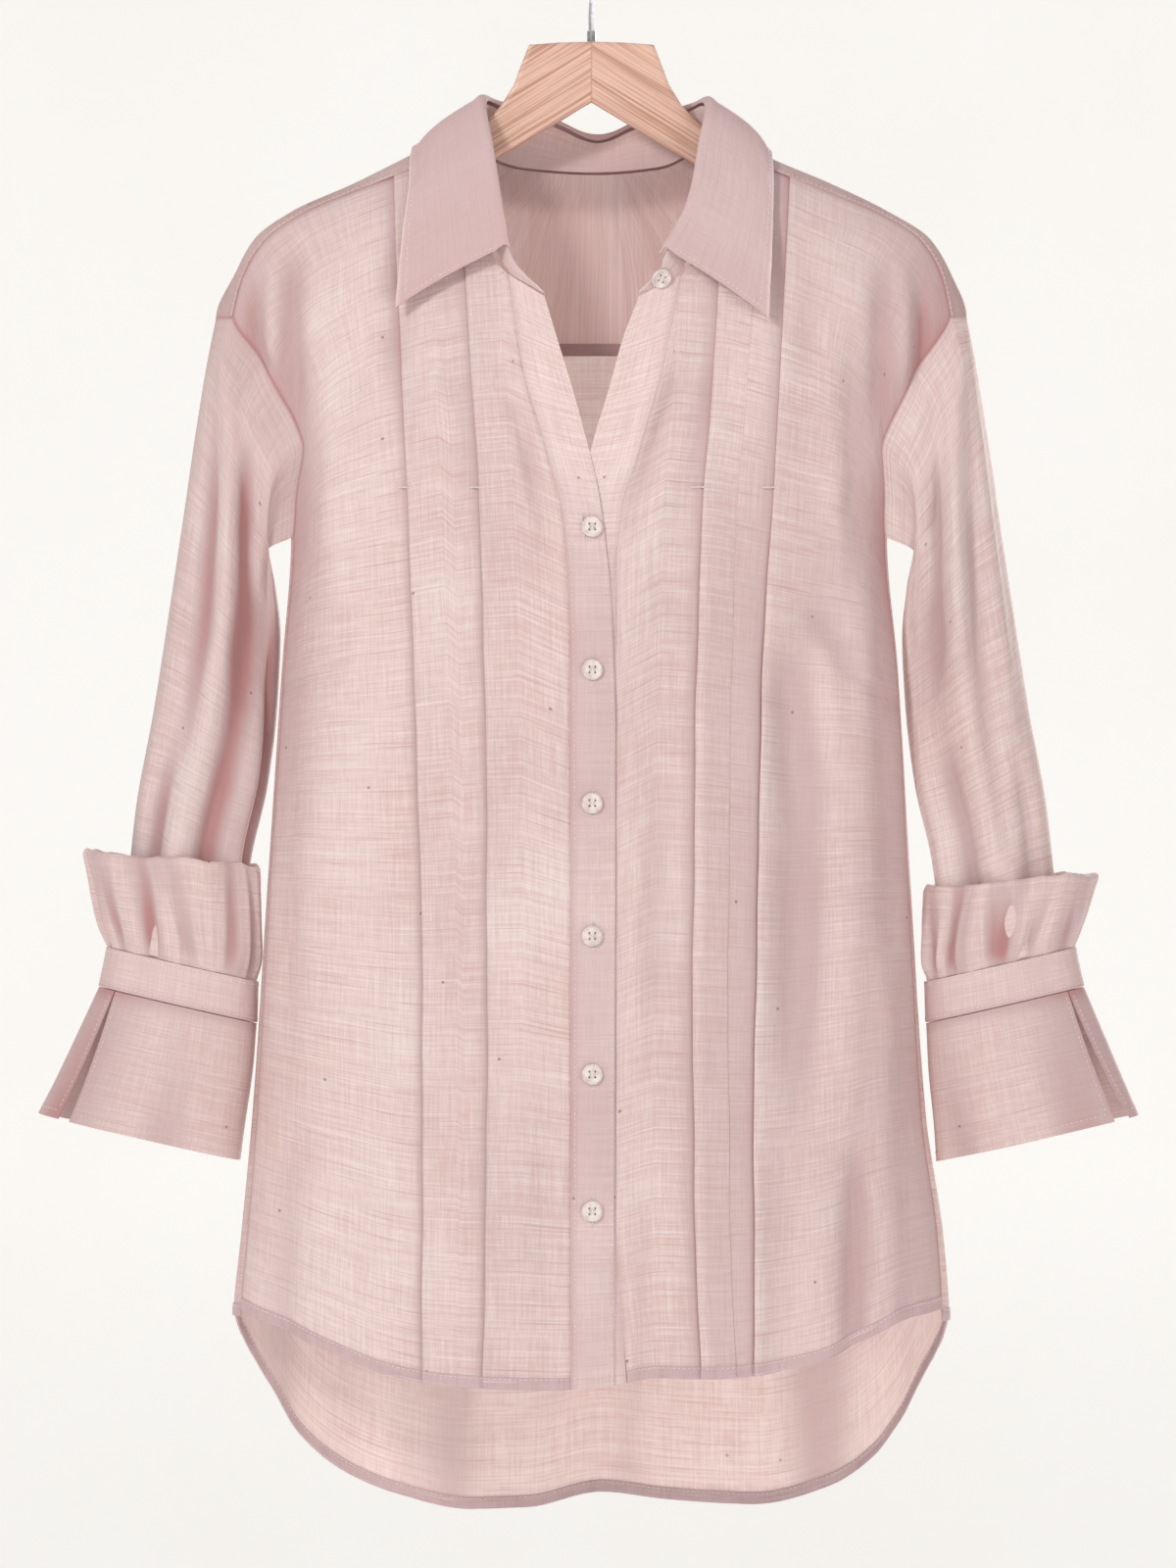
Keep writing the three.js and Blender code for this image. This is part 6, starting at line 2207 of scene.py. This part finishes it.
@dataclass
class Needlework:
    """The stitch lines, buttonholes and tacks, and the thread in the buttons."""

    seams: Seams
    yoke: Yoke
    back: BackPanel
    fronts: dict[Side, FrontPanel]
    plackets: dict[Side, Placket]
    collar: Collar
    ends: dict[Side, SleeveEnd]
    hole_length: float = 18.0
    hole_gap: float = 0.75
    edge_width: float = 1.0
    end_width: float = 2.4
    hem_stitch: float = 6.6
    hole_spread: float = 1.3

    def build(self) -> None:
        """Make all of it, one piece of thread for each kind."""
        self._band_lines()
        self._yoke_lines()
        self._collar_lines()
        self._hem_lines()
        for side in Side:
            self._cuff_lines(side)
        self._buttonholes()
        self._tacks()
        self._button_thread()

    def _band_lines(self) -> None:
        """Sew down both bands, beside the seam and beside the free edge."""
        lines = Stitches("stitches_bands")
        for side, placket in self.plackets.items():
            end = None if side is Side.RIGHT else 60
            for part in (0.09, 0.93):
                path, out = placket.face(part)
                lines.run(path[:end], out[:end])
        lines.make()

    def _yoke_lines(self) -> None:
        """Sew beside the yoke's front seams and its back seam."""
        lines = Stitches("stitches_yoke")
        points, out = outer_face(self.yoke.grid, self.yoke.thickness / 2 + FACE_GAP)
        fine = self.yoke.fine
        for column in (1, -2):
            lines.run(points[1:, column], out[1:, column])
        back = slice(RIGHT_CORNERS[2] * fine, LEFT_CORNERS[0] * fine + 1)
        lines.run(points[-2, back], out[-2, back])
        lines.make()

    def _collar_lines(self) -> None:
        """Sew beside the collar's two short edges and its long one."""
        lines = Stitches("stitches_collar")
        points, out = outer_face(self.collar.leaf, self.collar.leaf_wall / 2 + FACE_GAP)
        lines.run(points[-3, 2:-2], out[-3, 2:-2])
        for column in (1, -2):
            lines.run(points[9:-2, column], out[9:-2, column])
        lines.make()

    def _hem_lines(self) -> None:
        """Sew the hems, on the face and on the inside."""
        lines = Stitches("stitches_hems")
        body = self.seams.body
        for panel, edge in (
            (self.fronts[Side.RIGHT], self.seams.front_hem),
            (self.fronts[Side.LEFT], self.seams.front_hem),
            (self.back, self.seams.back_hem),
        ):
            turn = panel.places.turn[-1]
            places = Places(turn, edge(turn) + self.hem_stitch, panel.places.lift[-1])
            face, inside = body.point(places, 0.25), body.point(places, -MIDDLE - 1.0)
            out = unit(face - inside)
            lines.run(face, out)
            lines.run(inside, -out)
        lines.make()

    def _cuff_lines(self, side: Side) -> None:
        """Sew a cuff's band and the edges of its flare."""
        lines = Stitches(f"stitches_cuff_{side.value}")
        end = self.ends[side]
        middle = side.sign * CUFF_BAND_RINGS[0][0]
        points, out = outer_face(end.band, end.band_wall / 2 + FACE_GAP, middle, closed=True)
        for row in (1, -2):
            path, way = (np.concatenate([rows[row], rows[row, :1]]) for rows in (points, out))
            lines.run(path, way)
        points, out = outer_face(end.flare, end.flare_wall / 2 + FACE_GAP, middle)
        lines.run(points[-4, 2:-2], out[-4, 2:-2])
        for column in (2, -3):
            lines.run(points[1:-3, column], out[1:-3, column])
        lines.make()

    def _buttonholes(self) -> None:
        """Sew an upright buttonhole behind each front button."""
        edges = Stitches("buttonhole_edges", thick=0.5)
        slits = Stitches("buttonhole_slits", stitch=2.0, gap=0.0, thick=0.5)
        path, out = self.plackets[Side.RIGHT].face(0.52)
        for height in BUTTON_HEIGHTS:
            z = np.linspace(height + self.hole_length / 2, height - self.hole_length / 2, 12)
            at = read_path(-z, -path[:, 2], path)
            way = unit(read_path(-z, -path[:, 2], out))
            aside = np.array([self.hole_gap, 0, 0])
            for shift in (-aside, aside):
                edges.bar(at + shift, way, self.edge_width)
            for end in (slice(0, 2), slice(-2, None)):
                edges.bar(at[end] - way[end] * FACE_GAP, way[end], self.end_width)
            # The slit is drawn in dark thread: painted shadow in the cut.
            slits.run(at, way)
        edges.make()
        slits.make(SLIT_SHADOW)

    def _tacks(self) -> None:
        """Sew a short bar across each pleat where it is let go."""
        tacks = Stitches("pleat_tacks", thick=0.5)
        body = self.seams.body
        for pleat in (RIGHT_OUTER, RIGHT_INNER, LEFT_INNER, LEFT_OUTER):
            edge = float(Curve(pleat.line)(PLEAT_TACK))
            x = np.linspace(edge - pleat.sunk, edge + 2.0, 8)
            z = np.full_like(x, PLEAT_TACK)
            places = Places.of(body.turn_at(x, z), z, 0 * x + 1.0)
            tacks.bar(body.point(places), np.tile([0.0, -1.0, 0.0], (len(x), 1)), 1.5)
        tacks.make()

    def _button_thread(self) -> None:
        """Sew the thread through the four holes of each button."""
        thread = Stitches("button_thread", thick=0.75)
        for k in range(1, BUTTON_COUNT + 1):
            low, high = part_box(f"button_{k}")
            x, z = (low[0] + high[0]) / 2 / MM, (low[2] + high[2]) / 2 / MM
            y = low[1] / MM + 0.55
            for aside in (-self.hole_spread, self.hole_spread):
                path = np.array([[x + aside, y, z + 1.6], [x + aside, y - 0.1, z], [x + aside, y, z - 1.6]])
                thread.bar(path[[0, 2]], np.tile([0.0, -1.0, 0.0], (2, 1)), 0.9, 0.6)
        thread.make()


# Name, place, size and power of each light
LIGHTS = (
    ("key_light", (-1.7, -2.6, 1.1), 0.6, 47),
    ("fill_light", (2.6, -2.8, -0.2), 1.8, 22),
    ("back_light", (0.7, 1.6, -0.3), 1.0, 20),
)


@dataclass
class Studio:
    """The pale wall and floor, the lights and the camera."""

    target: tuple[float, float, float] = (-0.0022, -0.05, -0.55625)
    distance: float = 8.0
    frame_height: float = 1.0
    floor: float = -1.9
    wall: float = 9.5
    half_width: float = 16.0
    height: float = 6.0
    radius: float = 0.8
    bend_steps: int = 16
    reach: float = 40.0
    sky: Colour = (1.0, 0.975, 0.955)
    sky_strength: float = 0.55
    warmth: Colour = (1.0, 0.97, 0.94)

    def build(self) -> None:
        """Make the stage, the lights and the camera."""
        self._sweep()
        world = bpy.data.worlds.new("studio_light")
        world.use_nodes = True
        background = world.node_tree.nodes["Background"]
        background.inputs["Color"].default_value = (*self.sky, 1)
        background.inputs["Strength"].default_value = self.sky_strength
        bpy.context.scene.world = world
        for light in LIGHTS:
            self._light(*light)
        camera_data = bpy.data.cameras.new("camera")
        camera_data.sensor_fit = "VERTICAL"
        camera_data.lens = camera_data.sensor_height * self.distance / self.frame_height
        camera_data.clip_end = self.reach
        camera = linked("camera", camera_data)
        x, y, z = self.target
        camera.location = (x, y - self.distance, z)
        camera.rotation_euler = (math.radians(90), 0, 0)
        bpy.context.scene.camera = camera
        bpy.context.scene.view_settings.view_transform = "Standard"

    def _sweep(self) -> None:
        """Make the wall that curves into the floor."""
        radius = self.radius
        y, z = self.wall - radius, self.floor + radius
        line = [(-self.half_width, self.floor), (y, self.floor)]
        for k in range(1, self.bend_steps + 1):
            angle = math.pi / 2 * k / self.bend_steps
            line.append((y + radius * math.sin(angle), z - radius * math.cos(angle)))
        line.append((self.wall, self.height))
        points = [(x, y, z) for x in (-self.half_width, self.half_width) for y, z in line]
        count = len(line)
        faces = [(k, k + 1, count + k + 1, count + k) for k in range(count - 1)]
        mesh = bpy.data.meshes.new("studio_wall")
        mesh.from_pydata(points, [], faces)
        mesh.shade_smooth()
        thing = linked("studio_wall", mesh)
        thing.data.materials.append(WallFinish().material())

    def _light(self, name: str, place: tuple[float, float, float], size: float, power: float) -> None:
        """Add one square light that faces the blouse."""
        data = bpy.data.lights.new(name, "AREA")
        data.shape = "SQUARE"
        data.size = size
        data.energy = power
        data.color = self.warmth
        light = linked(name, data)
        light.location = place
        way = Vector(self.target) - Vector(place)
        light.rotation_euler = way.to_track_quat("-Z", "Y").to_euler()


def main() -> None:
    """Build the blouse, its hanger and the studio, in order."""
    logging.basicConfig(level=logging.INFO, format="%(message)s")
    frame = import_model()
    bpy.ops.object.select_all(action="DESELECT")
    seams = Seams(BodyForm())
    back = BackPanel(seams)
    back.build()
    yoke = Yoke(seams)
    yoke.build()
    fronts, plackets, ends = {}, {}, {}
    for side in Side:
        fronts[side] = FrontPanel(side, seams)
        fronts[side].build()
        plackets[side] = Placket(fronts[side])
        plackets[side].build()
    collar = Collar(seams, yoke)
    collar.build_stand()
    collar.build_leaf()
    for side in Side:
        Sleeve(side, seams, yoke).build()
        ends[side] = SleeveEnd(side)
        ends[side].build_band()
        ends[side].build_puff()
        ends[side].build_flare()
    Needlework(seams, yoke, back, fronts, plackets, collar, ends).build()
    finishes = {"hanger_body": WoodFinish(), "hanger_ferrule": SteelFinish(), "hanger_hook": SteelFinish()}
    finishes.update({f"button_{k}": ButtonFinish() for k in range(1, BUTTON_COUNT + 1)})
    for name, finish in finishes.items():
        paint(frame["nodes"][name], finish)
    Studio().build()


if __name__ == "__main__":
    main()
